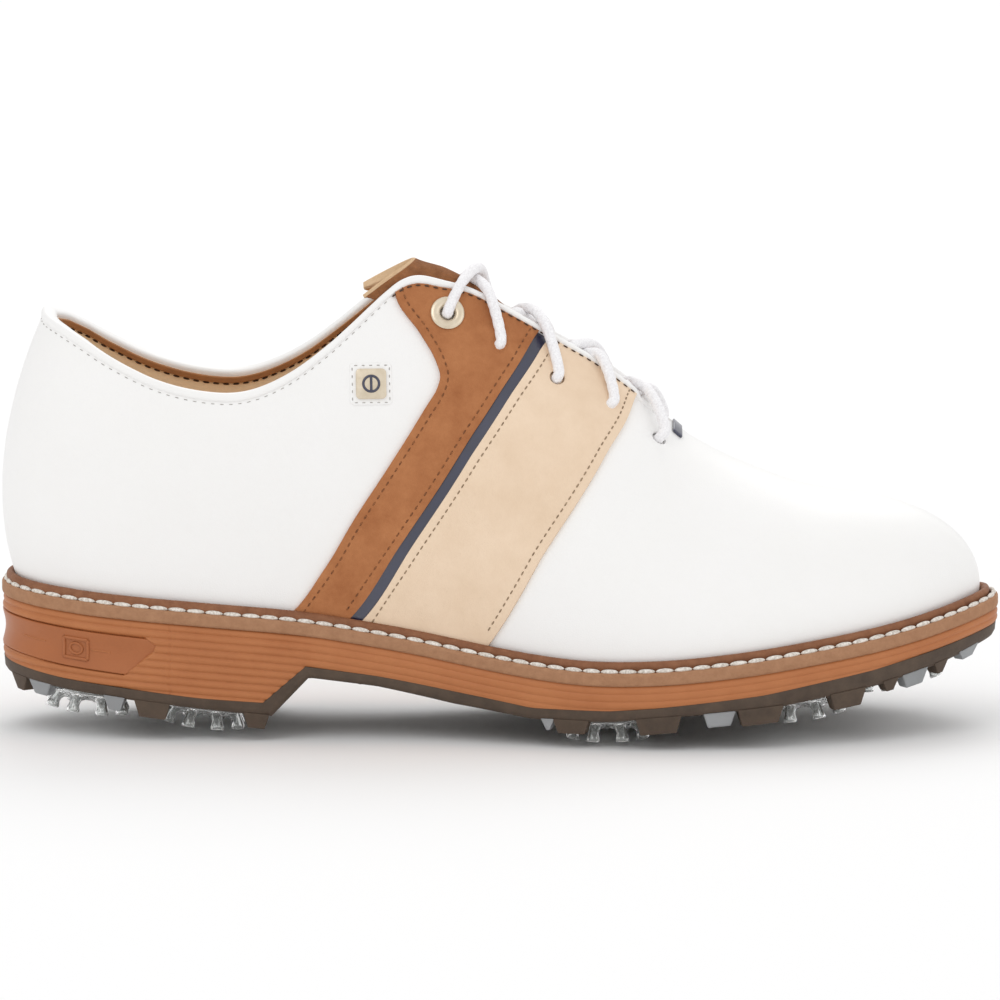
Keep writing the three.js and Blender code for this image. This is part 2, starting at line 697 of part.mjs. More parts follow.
function tongueGrid(depth) {
  const columns = 10;
  const rows = 8;
  const grid = [];
  for (let i = 0; i <= columns; i += 1) {
    const x = TONGUE_FRONT + (TONGUE_BACK - TONGUE_FRONT) * (i / columns);
    const free = THREE.MathUtils.smoothstep(142 - x, 0, 14);
    const edgeV = 0.66 - 0.1 * (i / columns);
    const crown = upper(outlineAt(LATERAL, x), 1);
    crown.z -= TONGUE_DROP + depth - TONGUE_SWELL * free;
    const edge = {};
    for (const [name, side] of Object.entries(SIDES)) {
      const place = [outlineAt(side, x), edgeV];
      edge[name] = upper(...place).addScaledVector(outward(...place), -EDGE_DROP - depth);
    }
    const column = [];
    for (let j = 0; j <= rows; j += 1) {
      const angle = ARCH_ANGLE * (1 - (2 * j) / rows);
      const end = angle > 0 ? edge.medial : edge.lateral;
      const across = Math.abs(Math.sin(angle)) / Math.sin(ARCH_ANGLE);
      const down = (1 - Math.cos(angle)) / (1 - Math.cos(ARCH_ANGLE));
      column.push(new THREE.Vector3(
        crown.x + (end.x - crown.x) * across,
        crown.y + (end.y - crown.y) * across,
        crown.z + (end.z - crown.z) * down,
      ));
    }
    grid.push(column);
  }
  return grid;
}

function addTongue() {
  const half = TONGUE_THICKNESS / 2;
  addPiece("tongue", solidSheet([tongueGrid(half)], -half, half), "brown");
  const depth = TONGUE_THICKNESS + 2.6;
  addPiece("tongue_lining", solidSheet([tongueGrid(depth)], -LEATHER / 2, 0), "lining");
}

// ---------------------------------------------------------------- sole
const RING = 60;

// Outline parameters: even round the ends, with extra stations at the heel breast.
function ringStations() {
  const xs = [];
  const half = RING / 2;
  for (let i = 0; i <= half; i += 1) xs.push(LENGTH * (0.5 - 0.5 * Math.cos((Math.PI * i) / half)));
  for (const x of [79, 81.5, 91.7, 93]) {
    let nearest = 0;
    xs.forEach((value, i) => {
      if (Math.abs(value - x) < Math.abs(xs[nearest] - x)) nearest = i;
    });
    xs[nearest] = x;
  }
  return [...new Set(xs)].sort((a, b) => a - b);
}

function plainOutlineAt(side, x) {
  let low = side === LATERAL ? 0 : 1;
  let high = 0.5;
  for (let i = 0; i < 40; i += 1) {
    const middle = (low + high) / 2;
    if (outline(middle)[0] < x) low = middle;
    else high = middle;
  }
  return (low + high) / 2;
}

const STATIONS = ringStations();
const RING_U = [
  ...STATIONS.map((x) => plainOutlineAt(LATERAL, x)),
  ...STATIONS.slice(1, -1).reverse().map((x) => plainOutlineAt(MEDIAL, x)),
];

function ring(inset, height) {
  return RING_U.map((u) => {
    const depth = typeof inset === "function" ? inset(outline(u)[0]) : inset;
    const [x, y] = planPoint(u, depth);
    return new THREE.Vector3(x, y, height(x, y));
  });
}

// A solid from rings stacked from bottom to top, capped across the shoe.
function stack(rings) {
  const n = rings[0].length;
  const positions = rings.flat().flatMap((p) => [p.x, p.y, p.z]);
  const index = [];
  for (let k = 0; k + 1 < rings.length; k += 1) {
    for (let i = 0; i < n; i += 1) {
      const a = k * n + i;
      const b = k * n + ((i + 1) % n);
      index.push(a, b, b + n, a, b + n, a + n);
    }
  }
  const top = (rings.length - 1) * n;
  for (let i = 0; i < n / 2; i += 1) {
    const [a, b, c, d] = [i, i + 1, (n - i - 1) % n, (n - i) % n];
    for (const [p, q, r] of [[a, b, c], [a, c, d]]) {
      if (new Set([p, q, r]).size < 3) continue;
      index.push(p, r, q);
      index.push(top + p, top + q, top + r);
    }
  }
  return geometryFrom(positions, index);
}

// A ring-shaped solid from rings that go once round its section.
function collar(rings) {
  const n = rings[0].length;
  const m = rings.length;
  const positions = rings.flat().flatMap((p) => [p.x, p.y, p.z]);
  const index = [];
  for (let k = 0; k < m; k += 1) {
    for (let i = 0; i < n; i += 1) {
      const a = k * n + i;
      const b = k * n + ((i + 1) % n);
      const c = ((k + 1) % m) * n + ((i + 1) % n);
      const d = ((k + 1) % m) * n + i;
      index.push(a, b, c, a, c, d);
    }
  }
  return geometryFrom(positions, index);
}

const feather = (extra) => (x) => insetTable(x)[0] + extra;
const above = (curve, extra) => (x) => curve(x) + extra;
const midsoleTop = above(weltTop, -WELT_THICKNESS - GAP);

function addWelt() {
  const bottom = above(weltTop, -WELT_THICKNESS);
  addPiece("welt", collar([
    ring(feather(3), bottom),
    ring(0.4, bottom),
    ring(-0.1, above(weltTop, -2)),
    ring(0.5, weltTop),
    ring(feather(-2.9), above(weltTop, -0.3)),
    ring(feather(-2.8), above(weltTop, 2.2)),
    ring(feather(-1.9), above(weltTop, 2.6)),
    ring(feather(-0.9), above(weltTop, -GAP)),
    ring(feather(3), above(weltTop, -GAP)),
  ]), "welt");
  addPiece("welt_stitching", collar([
    ring(feather(-3.2), above(weltTop, GAP)),
    ring(feather(-4.2), above(weltTop, GAP)),
    ring(feather(-3.7), above(weltTop, 1.1)),
  ]), "thread");
}

// The heel part of the midsole is pressed in where the heel panel lies.
const PANEL_FRONT_X = 45;
const PANEL_DEPTH = 2.2;
const inPanel = (x) => (x < PANEL_FRONT_X ? 1 : 0);

function midsoleLevel(share) {
  return (x) => midsoleBottom(x) + (midsoleTop(x) - midsoleBottom(x)) * share;
}

function addMidsole() {
  const recess = (x) => 1.2 + inPanel(x) * PANEL_DEPTH;
  addPiece("midsole", stack([
    ring(1.4, midsoleLevel(0)),
    ring(0.9, midsoleLevel(0.1)),
    ring((x) => recess(x), midsoleLevel(0.16)),
    ring((x) => recess(x), midsoleLevel(0.74)),
    ring(0.7, midsoleLevel(0.8)),
    ring(1, midsoleLevel(1)),
  ]), "stack");
  addHeelPanel();
}

function addHeelPanel() {
  const stations = STATIONS.filter((x) => x < PANEL_FRONT_X - 4);
  const lateral = stations.map((x) => plainOutlineAt(LATERAL, x));
  const medial = stations.slice(1).map((x) => plainOutlineAt(MEDIAL, x));
  const us = [...medial.reverse(), ...lateral];
  const grid = us.map((u) => [0.22, 0.45, 0.68].map((share) => {
    const [x, y] = planPoint(u, 1.6);
    return new THREE.Vector3(x, y, midsoleLevel(share)(x));
  }));
  addPiece("heel_panel", thicken(sheetFrom([grid]), -1.2, 0.2), "stack");
}

function addInnerSole() {
  const boardInset = feather(3.6);
  addPiece("insole_board", stack([
    ring(boardInset, above(weltTop, -2.4)),
    ring(boardInset, above(weltTop, -0.2)),
  ]), "board");
  const dish = (x, y) => weltTop(x) + 4.5 + 1.5 * Math.min((y / 30) ** 2, 1);
  addPiece("footbed", stack([
    ring(feather(5.8), above(weltTop, 0.2)),
    ring(feather(5.4), dish),
    ring(feather(13), (x, y) => dish(x, y) - 1),
  ]), "lining");
  const slab = (name, from, to, half, centre, material) => {
    const steps = 8;
    const grid = [];
    for (let i = 0; i <= steps; i += 1) {
      const x = from + ((to - from) * i) / steps;
      const z = weltTop(x) - 3.35;
      grid.push([-1, 0, 1].map((s) => new THREE.Vector3(x, centre(x) + s * half(x), z)));
    }
    addPiece(name, thicken(sheetFrom([grid]), -0.55, 0.55), material);
  };
  const ball = (x) => 30 - 10 * ((x - 205) / 60) ** 2;
  slab("cork_filler", 158, 262, ball, ridgeYOf, "cork");
  slab("shank", 52, 152, () => 8, ridgeYOf, "steel");
}

// Shape of the outsole's lugs along the shoe: [centre x, length, depth].
const LUGS = [
  [45.5, 11, 4.5], [77, 8, 4], [170.5, 11, 3.4], [197, 14, 4.6], [228, 14, 4.6], [254.5, 11, 4.6],
];
const CLEAR_LUGS = [[11, 7, 3.6], [215.5, 10, 4], [275, 8, 4]];
const LUG_WIDTH = 5;

function lug([x, length, depth], side, lift) {
  const u = plainOutlineAt(side, x);
  const [, y] = planPoint(u, OUTSOLE_EDGE_INSET + 1 + LUG_WIDTH / 2);
  const base = outsoleBottom(x);
  const slope = Math.atan2(outsoleBottom(x + 4) - outsoleBottom(x - 4), 8);
  const [ax, ay] = planPoint(u + 0.002, 0);
  const [bx, by] = planPoint(u - 0.002, 0);
  const shape = new THREE.Shape();
  shape.moveTo(-length / 2, lift);
  shape.lineTo(length / 2, lift);
  shape.lineTo(length / 2 - 1.2, -depth);
  shape.lineTo(-length / 2 + 1.2, -depth);
  shape.closePath();
  const geometry = new THREE.ExtrudeGeometry(shape, { depth: LUG_WIDTH, bevelEnabled: false });
  geometry.translate(0, 0, -LUG_WIDTH / 2);
  geometry.rotateX(Math.PI / 2);
  geometry.rotateY(-slope);
  geometry.rotateZ(Math.atan((ay - by) / (ax - bx)));
  geometry.translate(x, y, base);
  return geometry;
}

function cleatFrame([x, y]) {
  const reach = 9;
  const level = x > 150 && x < 200;
  const slope = level ? 0 : (outsoleBottom(x + reach) - outsoleBottom(x - reach)) / (2 * reach);
  const axis = new THREE.Vector3(slope, 0, -1).normalize();
  return { centre: new THREE.Vector3(x, y, outsoleBottom(x)), axis };
}

const SEAT_DEPTH = 0.5;
const SEAT_LEVEL = GAP - SEAT_DEPTH;
const SOCKET_DEPTH = 2.9;
const SOCKET_RADIUS = 9.6;

function addOutsole() {
  const body = stack([
    ring(OUTSOLE_EDGE_INSET + 1.5, outsoleBottom),
    ring(OUTSOLE_EDGE_INSET, above(outsoleBottom, 1)),
    ring(OUTSOLE_EDGE_INSET, above(midsoleBottom, -GAP)),
  ]);
  const lugs = [];
  for (const side of [LATERAL, MEDIAL]) {
    for (const row of LUGS) lugs.push(lug(row, side, 1));
  }
  const pockets = [];
  for (const place of Object.values(CLEATS)) {
    const { centre, axis } = cleatFrame(place);
    pockets.push(cylinder(centre, axis, CLEAT_RADIUS + 1, -SEAT_DEPTH, 6, 12));
    pockets.push(cylinder(centre, axis, SOCKET_RADIUS, -SOCKET_DEPTH, 6, 10));
  }
  addPiece("outsole", cut(join([body, ...lugs]), pockets), "outsole");
  for (const [name, side] of Object.entries(SIDES)) {
    CLEAR_LUGS.forEach((row, i) => {
      addPiece(`clear_lug_${name}_${i + 1}`, lug(row, side, -GAP - 0.25), "clear");
    });
  }
}

// A cleat in its own frame: the disc's top at zero, legs pointing along +Y.
function cleatGeometry() {
  const origin = new THREE.Vector3();
  const down = new THREE.Vector3(0, 1, 0);
  const parts = [
    cylinder(origin, down, CLEAT_RADIUS - 0.6, 0, 2.2, 12, CLEAT_RADIUS - 2.2),
    cylinder(origin, down, CLEAT_TWIST_STEM, -2.1, 4, 8),
  ];
  const legs = 8;
  const lean = 0.3;
  for (let i = 0; i < legs; i += 1) {
    const angle = (2 * Math.PI * (i + 0.5)) / legs;
    const axis = new THREE.Vector3(Math.cos(angle) * lean, 1, Math.sin(angle) * lean).normalize();
    const foot = new THREE.Vector3(Math.cos(angle), 0, Math.sin(angle)).multiplyScalar(8.6);
    parts.push(cylinder(foot, axis, 2.9, 1, CLEAT_DROP + 1.5, 4, 2));
  }
  const trim = new THREE.BoxGeometry(60, 10, 60);
  trim.translate(0, CLEAT_DROP - SEAT_LEVEL + 5, 0);
  return cut(join(parts), [trim]);
}

function addCleats() {
  const shape = cleatGeometry();
  for (const [name, place] of Object.entries(CLEATS)) {
    const { centre, axis } = cleatFrame(place);
    const socket = cut(
      cylinder(centre, axis, SOCKET_RADIUS - 2 * GAP, -SOCKET_DEPTH + GAP, -SEAT_DEPTH, 10),
      [cylinder(centre, axis, CLEAT_TWIST_STEM + 2 * GAP, -SOCKET_DEPTH + 0.6, 2, 8)],
    );
    addPiece(`cleat_receptacle_${name}`, socket, "outsole");
    const cleat = addPiece(`cleat_${name}`, shape.clone(), "clear");
    cleat.quaternion.setFromUnitVectors(new THREE.Vector3(0, 1, 0), axis);
    cleat.position.copy(centre).addScaledVector(axis, SEAT_LEVEL);
  }
}

// ---------------------------------------------------------------- lace and small parts
const OVER = OVERLAY[1] + LACE_RADIUS + 0.6;
const UNDER = LINING[0] - LACE_RADIUS - 0.6;

// One point of the lace: an eyelet and how far outward from the last surface.
function atEyelet(index, side, offset, slip = 0) {
  const [x, z] = EYELETS[index];
  const place = locate(x, z, 2, side);
  const point = upper(...place).addScaledVector(outward(...place), offset);
  point.y -= side * slip;
  return point;
}

// A point over the lacing gap, between two eyelet pairs.
function overGap(x, y, offset) {
  const side = y < 0 ? LATERAL : MEDIAL;
  const place = locate(x, ridgeYOf(x) + y, 1, side);
  return upper(...place).addScaledVector(outward(...place), offset);
}

// A point inside the shoe under a place on the quarter, for the tucked end of the lace.
function tucked(x, z, side) {
  const place = locate(x, z, 2, side);
  return upper(...place).addScaledVector(outward(...place), UNDER - 0.9);
}

// One strand: from inside the top eyelet, crossing down to the lowest one.
function strand(startSide, crossOffset) {
  let side = startSide;
  const points = [
    tucked(128, 113, side),
    tucked(131, 119, side),
    atEyelet(0, side, UNDER - 0.3, -1.4),
    atEyelet(0, side, -1),
    atEyelet(0, side, OVER),
    atEyelet(0, side, OVER + 2.2, 1.2),
  ];
  for (let i = 1; i < EYELETS.length; i += 1) {
    const from = EYELETS[i - 1][0];
    const to = EYELETS[i][0];
    const middle = (from + to) / 2;
    const lift = i === 1 ? OVER + 0.2 : 0;
    if (i > 1) points.push(overGap(from + (middle - from) * 0.4, side * 6.2, UNDER + 0.5));
    else points.push(overGap(from + (middle - from) * 0.5, side * 7, OVER + 0.9));
    points.push(overGap(middle, side * 0.3, lift + crossOffset));
    side = -side;
    points.push(overGap(to - (to - middle) * 0.55, side * 6.6, OVER + 0.2));
    points.push(atEyelet(i, side, OVER + 0.1, 1.2));
    points.push(atEyelet(i, side, OVER - 1.4));
    points.push(atEyelet(i, side, -2.6));
    points.push(atEyelet(i, side, UNDER - 0.2, 0.8));
  }
  return points;
}

function addLace() {
  const bar = overGap(EYELETS[4][0], 0, UNDER - 0.8);
  const first = strand(LATERAL, 1.6);
  const second = strand(MEDIAL, -2);
  addPiece("lace", tube([...first, bar, ...second.reverse()], LACE_RADIUS, 96, 8), "thread");
}

function addTrim() {
  for (const [name, side] of Object.entries(SIDES)) {
    const place = locate(...EYELETS[0], 2, side);
    const centre = upper(...place);
    const axis = outward(...place);
    const rimRing = cylinder(centre, axis, 5.4, OVERLAY[1] + GAP, OVERLAY[1] + GAP + 0.8, 14, 5);
    const hole = cylinder(centre, axis, HOLE_RADIUS + 1.4, -1, 5, 10);
    addPiece(`eyelet_${name}`, cut(rimRing, [hole]), "metal");
  }
  const place = locate(...EMBLEM, 2, LATERAL);
  const axis = outward(...place);
  const centre = upper(...place);
  addPiece("emblem_patch", cylinder(centre, axis, 6.6, GAP, 1.3, 8), "white");
  addPiece("emblem_plate", cylinder(centre, axis, 4.8, 1.6, 2.8, 4), "metal");
  const tab = [];
  for (let i = 0; i <= 3; i += 1) {
    const x = THROAT_X + 1.5 + i * 0.9;
    tab.push([-9, -4, 0, 5].map((y) => locateTab(x, y)));
  }
  addPiece("throat_tab", solidSheet([tab], GAP, 1.2), "navy");
}

function locateTab(x, y) {
  if (y === 0) return [outlineAt(LATERAL, x), 1];
  return locate(x, ridgeYOf(x) + y, 1, y < 0 ? LATERAL : MEDIAL);
}

addUpper();
addBinding();
addTongue();
addWelt();
addMidsole();
addInnerSole();
addOutsole();
addCleats();
addLace();
addTrim();

// The row frame: origin under the middle of the shoe, cleat tips at zero.
group.position.set(-LENGTH / 2, 0, CLEAT_DROP - outsoleBottom(182));

export default group;
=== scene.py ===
"""Golf shoe: the finished surfaces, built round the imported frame.

Shapes are worked out in millimetres in the shoe's own coordinates: x from the heel back to the toe,
y towards the medial side, z up. place() turns them into the row frame in metres.
"""
import math

import bpy
import numpy as np
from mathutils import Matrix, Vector


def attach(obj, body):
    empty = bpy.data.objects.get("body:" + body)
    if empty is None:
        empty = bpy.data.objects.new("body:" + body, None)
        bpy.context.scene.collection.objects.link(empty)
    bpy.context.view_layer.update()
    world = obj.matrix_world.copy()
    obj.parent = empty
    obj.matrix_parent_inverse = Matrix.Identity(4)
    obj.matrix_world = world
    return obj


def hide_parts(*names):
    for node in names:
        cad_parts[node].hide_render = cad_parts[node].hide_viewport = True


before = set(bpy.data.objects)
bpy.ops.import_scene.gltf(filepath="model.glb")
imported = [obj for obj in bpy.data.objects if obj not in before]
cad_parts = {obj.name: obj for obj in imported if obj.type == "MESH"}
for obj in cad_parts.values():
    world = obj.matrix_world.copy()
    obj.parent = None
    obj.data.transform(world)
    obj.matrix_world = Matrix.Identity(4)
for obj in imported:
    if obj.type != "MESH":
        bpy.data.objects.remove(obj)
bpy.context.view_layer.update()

# ---------------------------------------------------------------- driving values (millimetres)
LENGTH = 300.0
LIFT = 0.3                      # the cleat tips stand at zero
WELT_THICKNESS = 4.0
LEATHER = 1.3
FOOT_GAP = 0.3                  # the upper starts this far above the welt
LACE_RADIUS = 1.65
LATERAL, MEDIAL = -1, 1
SIDES = {"lateral": LATERAL, "medial": MEDIAL}

OUTLINE = [
    (0, 0), (3, -14), (10, -23), (20, -29), (40, -34.5), (66, -36.2), (100, -34.5), (120, -35),
    (140, -39), (160, -46), (182, -52), (204, -54), (225, -52), (245, -46), (264, -38), (282, -26),
    (293, -14), (299, -3), (299, 9), (293, 20), (282, 31), (265, 41), (245, 48), (218, 52),
    (195, 50), (175, 43), (155, 36), (135, 31.5), (115, 30), (95, 31.5), (70, 34.5), (50, 35.5),
    (33, 33.5), (20, 29.5), (10, 23.5), (3, 14),
]
WELT_TOP = [
    (0, 43.5), (30, 40.6), (60, 38.2), (90, 35.3), (120, 30.4), (150, 25.2), (175, 22.7), (195, 23),
    (220, 25.2), (245, 28.3), (270, 32.2), (290, 36.5), (300, 38.8),
]
MIDSOLE_BOTTOM = [
    (0, 20.6), (19, 17.4), (60, 12.5), (79, 11.1), (91.7, 21.9), (113, 19), (136, 14.9),
    (159, 11.2), (182, 11.2), (195, 12.2), (229, 15.9), (262, 21.6), (282, 26.1), (300, 30.4),
]
OUTSOLE_BOTTOM = [
    (0, 16.6), (19, 14), (40, 11.3), (60, 9), (81.5, 6.7), (92.6, 18.2), (113, 15.6), (136, 10.9),
    (159, 7.6), (182, 7.5), (195, 8.8), (235, 12.1), (262, 16.4), (282, 21.2), (300, 27),
]
RIDGE = [
    (38, 160), (66, 158), (100, 152), (118, 147), (130, 141), (140, 136), (152, 128), (165, 119.5),
    (178, 111), (186, 104.5), (198, 94), (204, 88.5), (212, 83.5), (227, 76.5), (242, 71.3),
    (257, 69), (264, 68),
]
RIDGE_Y = [(38, 0), (150, 0), (200, 1.5), (264, 4)]
RIB_SHAPE = [
    (5, 50, 18.4, 0.3), (35, 53, 8.5, 0.52), (66, 55, 3, 0.6), (110, 49, 4, 0.47),
    (150, 38, 4.5, 0.46), (182, 27, 5, 0.47), (220, 19, 4.5, 0.54), (250, 16.4, 4, 0.62),
    (294, 14, 2.4, 0.74),
]
FEATHER_INSET = [(0, 5), (60, 5), (180, 6.2), (300, 6.2)]
SPINE_BACK, SPINE_FRONT = 38.0, 260.0

COLLAR = [
    (20, 122.4), (33, 114.4), (46, 108), (60, 104.3), (73, 103.7), (86.5, 108.8), (100, 118.5),
    (108, 125.5), (115, 131.7), (120, 135.3), (126, 137),
]
COLLAR_BACK_Z = 126.0
FACING = [
    (131, 7.8), (139, 6.8), (148, 6.4), (158, 6.2), (168, 6.2), (178, 6), (188, 5.6), (196, 5),
]
THROAT_X = 200.0
SADDLE_REAR = [
    (88.6, 38.7), (97.1, 50.5), (106.1, 65.5), (116.2, 80.8), (126.6, 96.9), (130.8, 103.6),
    (131.9, 107.5), (130.6, 112), (126, 119.8), (118.8, 130),
]
SADDLE_FRONT = [(105.7, 36.8), (120, 57.9), (135.8, 81.6), (148.9, 101.5), (156.5, 112.5)]
STRIPE_FRONT = [(109.1, 35.8), (123.5, 57.5), (139, 80.9), (152, 100.5), (159.8, 111.4)]
PANEL_FRONT = [(148.5, 31.5), (161.8, 54.7), (180.6, 83.6), (187.2, 93.5)]
VAMP_SEAM = [(126, 30), (142, 55), (160, 84), (168, 95.5), (173, 102)]
EYELETS = [(133.9, 125.3), (149.5, 116.1), (166.6, 106.2), (182.6, 98.1), (197.5, 88.2)]
EMBLEM = (111.2, 105.6)
CLEATS = {
    "heel_rear_lateral": (27, -14.8), "heel_rear_medial": (27, 14.8),
    "heel_front_lateral": (61.5, -17), "heel_front_medial": (61.5, 16),
    "ball_lateral": (182, -33), "ball_medial": (184, 27),
    "forefoot_lateral": (240, -27), "forefoot_medial": (236, 29), "toe": (269, 2),
}


# ---------------------------------------------------------------- curves
def table(rows):
    """A smooth curve through rows (x, values...), as a function of an array of x."""
    xs = np.array([row[0] for row in rows], float)
    ys = np.array([row[1:] for row in rows], float)
    step = np.diff(xs)
    rise = np.diff(ys, axis=0) / step[:, None]
    slopes = np.zeros_like(ys)
    slopes[0], slopes[-1] = rise[0], rise[-1]
    before, after = step[:-1, None], step[1:, None]
    slopes[1:-1] = (rise[:-1] * after + rise[1:] * before) / (before + after)

    def curve(x):
        x = np.clip(np.asarray(x, float), xs[0], xs[-1])
        i = np.clip(np.searchsorted(xs, x, side="right") - 1, 0, len(xs) - 2)
        h = (xs[i + 1] - xs[i])[..., None]
        t = (x - xs[i])[..., None] / h
        return ((2 * t**3 - 3 * t * t + 1) * ys[i] + (t**3 - 2 * t * t + t) * h * slopes[i]
                + (3 * t * t - 2 * t**3) * ys[i + 1] + (t**3 - t * t) * h * slopes[i + 1])
    return curve


def closed_loop(points):
    p = np.array(points, float)
    lengths = np.hypot(*np.diff(np.vstack([p, p[:1]]), axis=0).T)
    s = np.concatenate([[0], np.cumsum(lengths)])
    total = s[-1]
    where = np.concatenate([s[:-1] - total, s[:-1], s[:-1] + total])
    curve = table([(a, *b) for a, b in zip(where, np.vstack([p, p, p]))])
    return lambda u: curve((np.asarray(u, float) % 1) * total)


def polyline(rows):
    xs, ys = zip(*rows)
    return lambda x: np.interp(x, xs, ys)


def smoothstep(value, low, high):
    t = np.clip((np.asarray(value, float) - low) / (high - low), 0, 1)
    return t * t * (3 - 2 * t)


outline = closed_loop(OUTLINE)
welt_curve = table(WELT_TOP)
midsole_bottom = polyline(MIDSOLE_BOTTOM)
outsole_bottom = polyline(OUTSOLE_BOTTOM)
ridge_curve = table(RIDGE)
ridge_y_curve = table(RIDGE_Y)
rib_curve = table(RIB_SHAPE)
inset_curve = table(FEATHER_INSET)


def welt_top(x):
    return welt_curve(x)[..., 0]


def ridge_y(x):
    return ridge_y_curve(x)[..., 0]


def feather_inset(x):
    return inset_curve(x)[..., 0]


def plan_points(u, inset):
    """Points of the plan outline moved inward."""
    step = 1e-4
    tangent = outline(u + step) - outline(u - step)
    tangent /= np.linalg.norm(tangent, axis=-1)[..., None]
    inward = np.stack([-tangent[..., 1], tangent[..., 0]], -1)
    return outline(u) + inward * np.asarray(inset, float)[..., None]


def feather(u):
    u = np.asarray(u, float)
    return plan_points(u, feather_inset(outline(u)[..., 0]))


_dense = np.linspace(0.45, 0.56, 1100)
TOE_U = float(_dense[np.argmax(feather(_dense)[..., 0])])


# ---------------------------------------------------------------- surface of the lasted upper
def smooth_max(a, b, k):
    return 0.5 * (a + b + np.sqrt((a - b) ** 2 + k * k))


def smooth_min(a, b, k):
    return 0.5 * (a + b - np.sqrt((a - b) ** 2 + k * k))


def upper(u, v):
    """u runs round the featherline, v climbs a rib from the featherline to the ridge."""
    u, v = np.broadcast_arrays(np.asarray(u, float), np.asarray(v, float))
    foot = feather(u)
    fx = foot[..., 0]
    c = smooth_min(smooth_max(fx, SPINE_BACK, 16), SPINE_FRONT, 12)
    hub = np.stack([c, ridge_y(c)], -1)
    reach = np.linalg.norm(foot - hub, axis=-1)
    direction = (foot - hub) / reach[..., None]
    bottom = welt_top(fx) + FOOT_GAP
    top = ridge_curve(c)[..., 0]
    slope = (ridge_curve(c + 0.5) - ridge_curve(c - 0.5))[..., 0] * direction[..., 0]
    rise, bulge, crown = np.moveaxis(rib_curve(fx), -1, 0)
    s = 1 - v
    out = s**3 * reach + 3 * s * s * v * (reach + bulge) + 3 * s * v * v * crown * reach
    z = (s**3 * bottom + 3 * s * s * v * (bottom + rise)
         + 3 * s * v * v * (top + slope * crown * reach) + v**3 * top)
    return np.concatenate([hub + direction * out[..., None], z[..., None]], -1)


def outward(u, v):
    step = 1e-3
    du = upper(u + step, v) - upper(u - step, v)
    dv = upper(u, np.minimum(v + step, 1)) - upper(u, np.maximum(v - step, 0))
    normal = np.cross(du, dv)
    return normal / np.linalg.norm(normal, axis=-1)[..., None]


def side_grid(side):
    ends = (0.002, TOE_U - 0.002) if side == LATERAL else (TOE_U + 0.002, 0.998)
    u, v = np.meshgrid(np.linspace(*ends, 260), np.linspace(0, 1, 120), indexing="ij")
    return u, v, upper(u, v)


GRIDS = {side: side_grid(side) for side in (LATERAL, MEDIAL)}


def locate(x, value, axis, side):
    """[u, v] where x and a second coordinate (1 for y, 2 for z) have given values."""
    grid_u, grid_v, grid = GRIDS[side]
    x, value = np.atleast_1d(x).astype(float), np.atleast_1d(value).astype(float)
    miss = ((grid[..., 0][..., None] - x) ** 2 + (grid[..., axis][..., None] - value) ** 2)
    nearest = miss.reshape(-1, len(x)).argmin(0)
    u, v = grid_u.ravel()[nearest].copy(), grid_v.ravel()[nearest].copy()
    step = 1e-5
    for _ in range(10):
        here = upper(u, v)
        du = (upper(u + step, v) - here) / step
        dv = (upper(u, v + step) - here) / step
        ex, ey = here[:, 0] - x, here[:, axis] - value
        a, b, c, d = du[:, 0], dv[:, 0], du[:, axis], dv[:, axis]
        det = a * d - b * c
        u -= np.clip((d * ex - b * ey) / det, -0.02, 0.02)
        v -= np.clip((a * ey - c * ex) / det, -0.05, 0.05)
    return np.stack([u, np.clip(v, 0, 1)], -1)


def outline_at(side, x):
    """Outline parameter where the featherline of one side reaches x."""
    us = np.linspace(0, TOE_U, 900) if side == LATERAL else np.linspace(1, TOE_U, 900)
    return np.interp(x, feather(us)[..., 0], us)


def refine(points, n, power=1.0):
    """n + 1 places spread along a smooth line through [u, v] places."""
    points = np.asarray(points, float)
    space = upper(points[:, 0], points[:, 1])
    s = np.concatenate([[0], np.cumsum(np.linalg.norm(np.diff(space, axis=0), axis=1))])
    curve = table([(a, *b) for a, b in zip(s, points)])
    return curve(s[-1] * np.linspace(0, 1, n + 1) ** power)


def coons(left, right, bottom, top):
    """A grid of places filling a four-sided outline of places."""
    s = np.linspace(0, 1, len(bottom))[:, None, None]
    t = np.linspace(0, 1, len(left))[None, :, None]
    across = left[None] * (1 - s) + right[None] * s
    up = bottom[:, None] * (1 - t) + top[:, None] * t
    corner = ((left[0] * (1 - s) + right[0] * s) * (1 - t)
              + (left[-1] * (1 - s) + right[-1] * s) * t)
    return across + up - corner


def edge_on(side, rows):
    xs, zs = np.array(rows, float).T
    return locate(xs, zs, 2, side)


def heel_u(side):
    return 0.0 if side == LATERAL else 1.0


def rim(side, margin):
    """Places along the top edge of one side, from the heel to the throat, lowered by a margin."""
    vs = np.linspace(0.2, 0.9, 800)
    back = np.interp(COLLAR_BACK_Z - margin, upper(heel_u(side), vs)[:, 2], vs)
    collar = edge_on(side, [(x, z - margin) for x, z in COLLAR])
    xs, ys = np.array(FACING, float).T
    front = locate(xs, ridge_y(xs) + side * (ys + margin * 0.8), 1, side)
    line = refine(np.vstack([[[heel_u(side), back]], collar, front]), 240)
    for _ in range(40):
        line[1:-1] = (line[:-2] + 2 * line[1:-1] + line[2:]) / 4
    return line


def cut_line(points, low=None, high=None):
    """The part of a line of places between two values of x."""
    dense = refine(points, 400)
    x = upper(dense[:, 0], dense[:, 1])[:, 0]
    keep = np.ones(len(x), bool)
    if low is not None:
        keep &= x >= low
    if high is not None:
        keep &= x <= high
    return dense[keep]


# ---------------------------------------------------------------- meshes
def place(points):
    return (np.asarray(points, float) + [-LENGTH / 2, 0, LIFT]) * 0.001


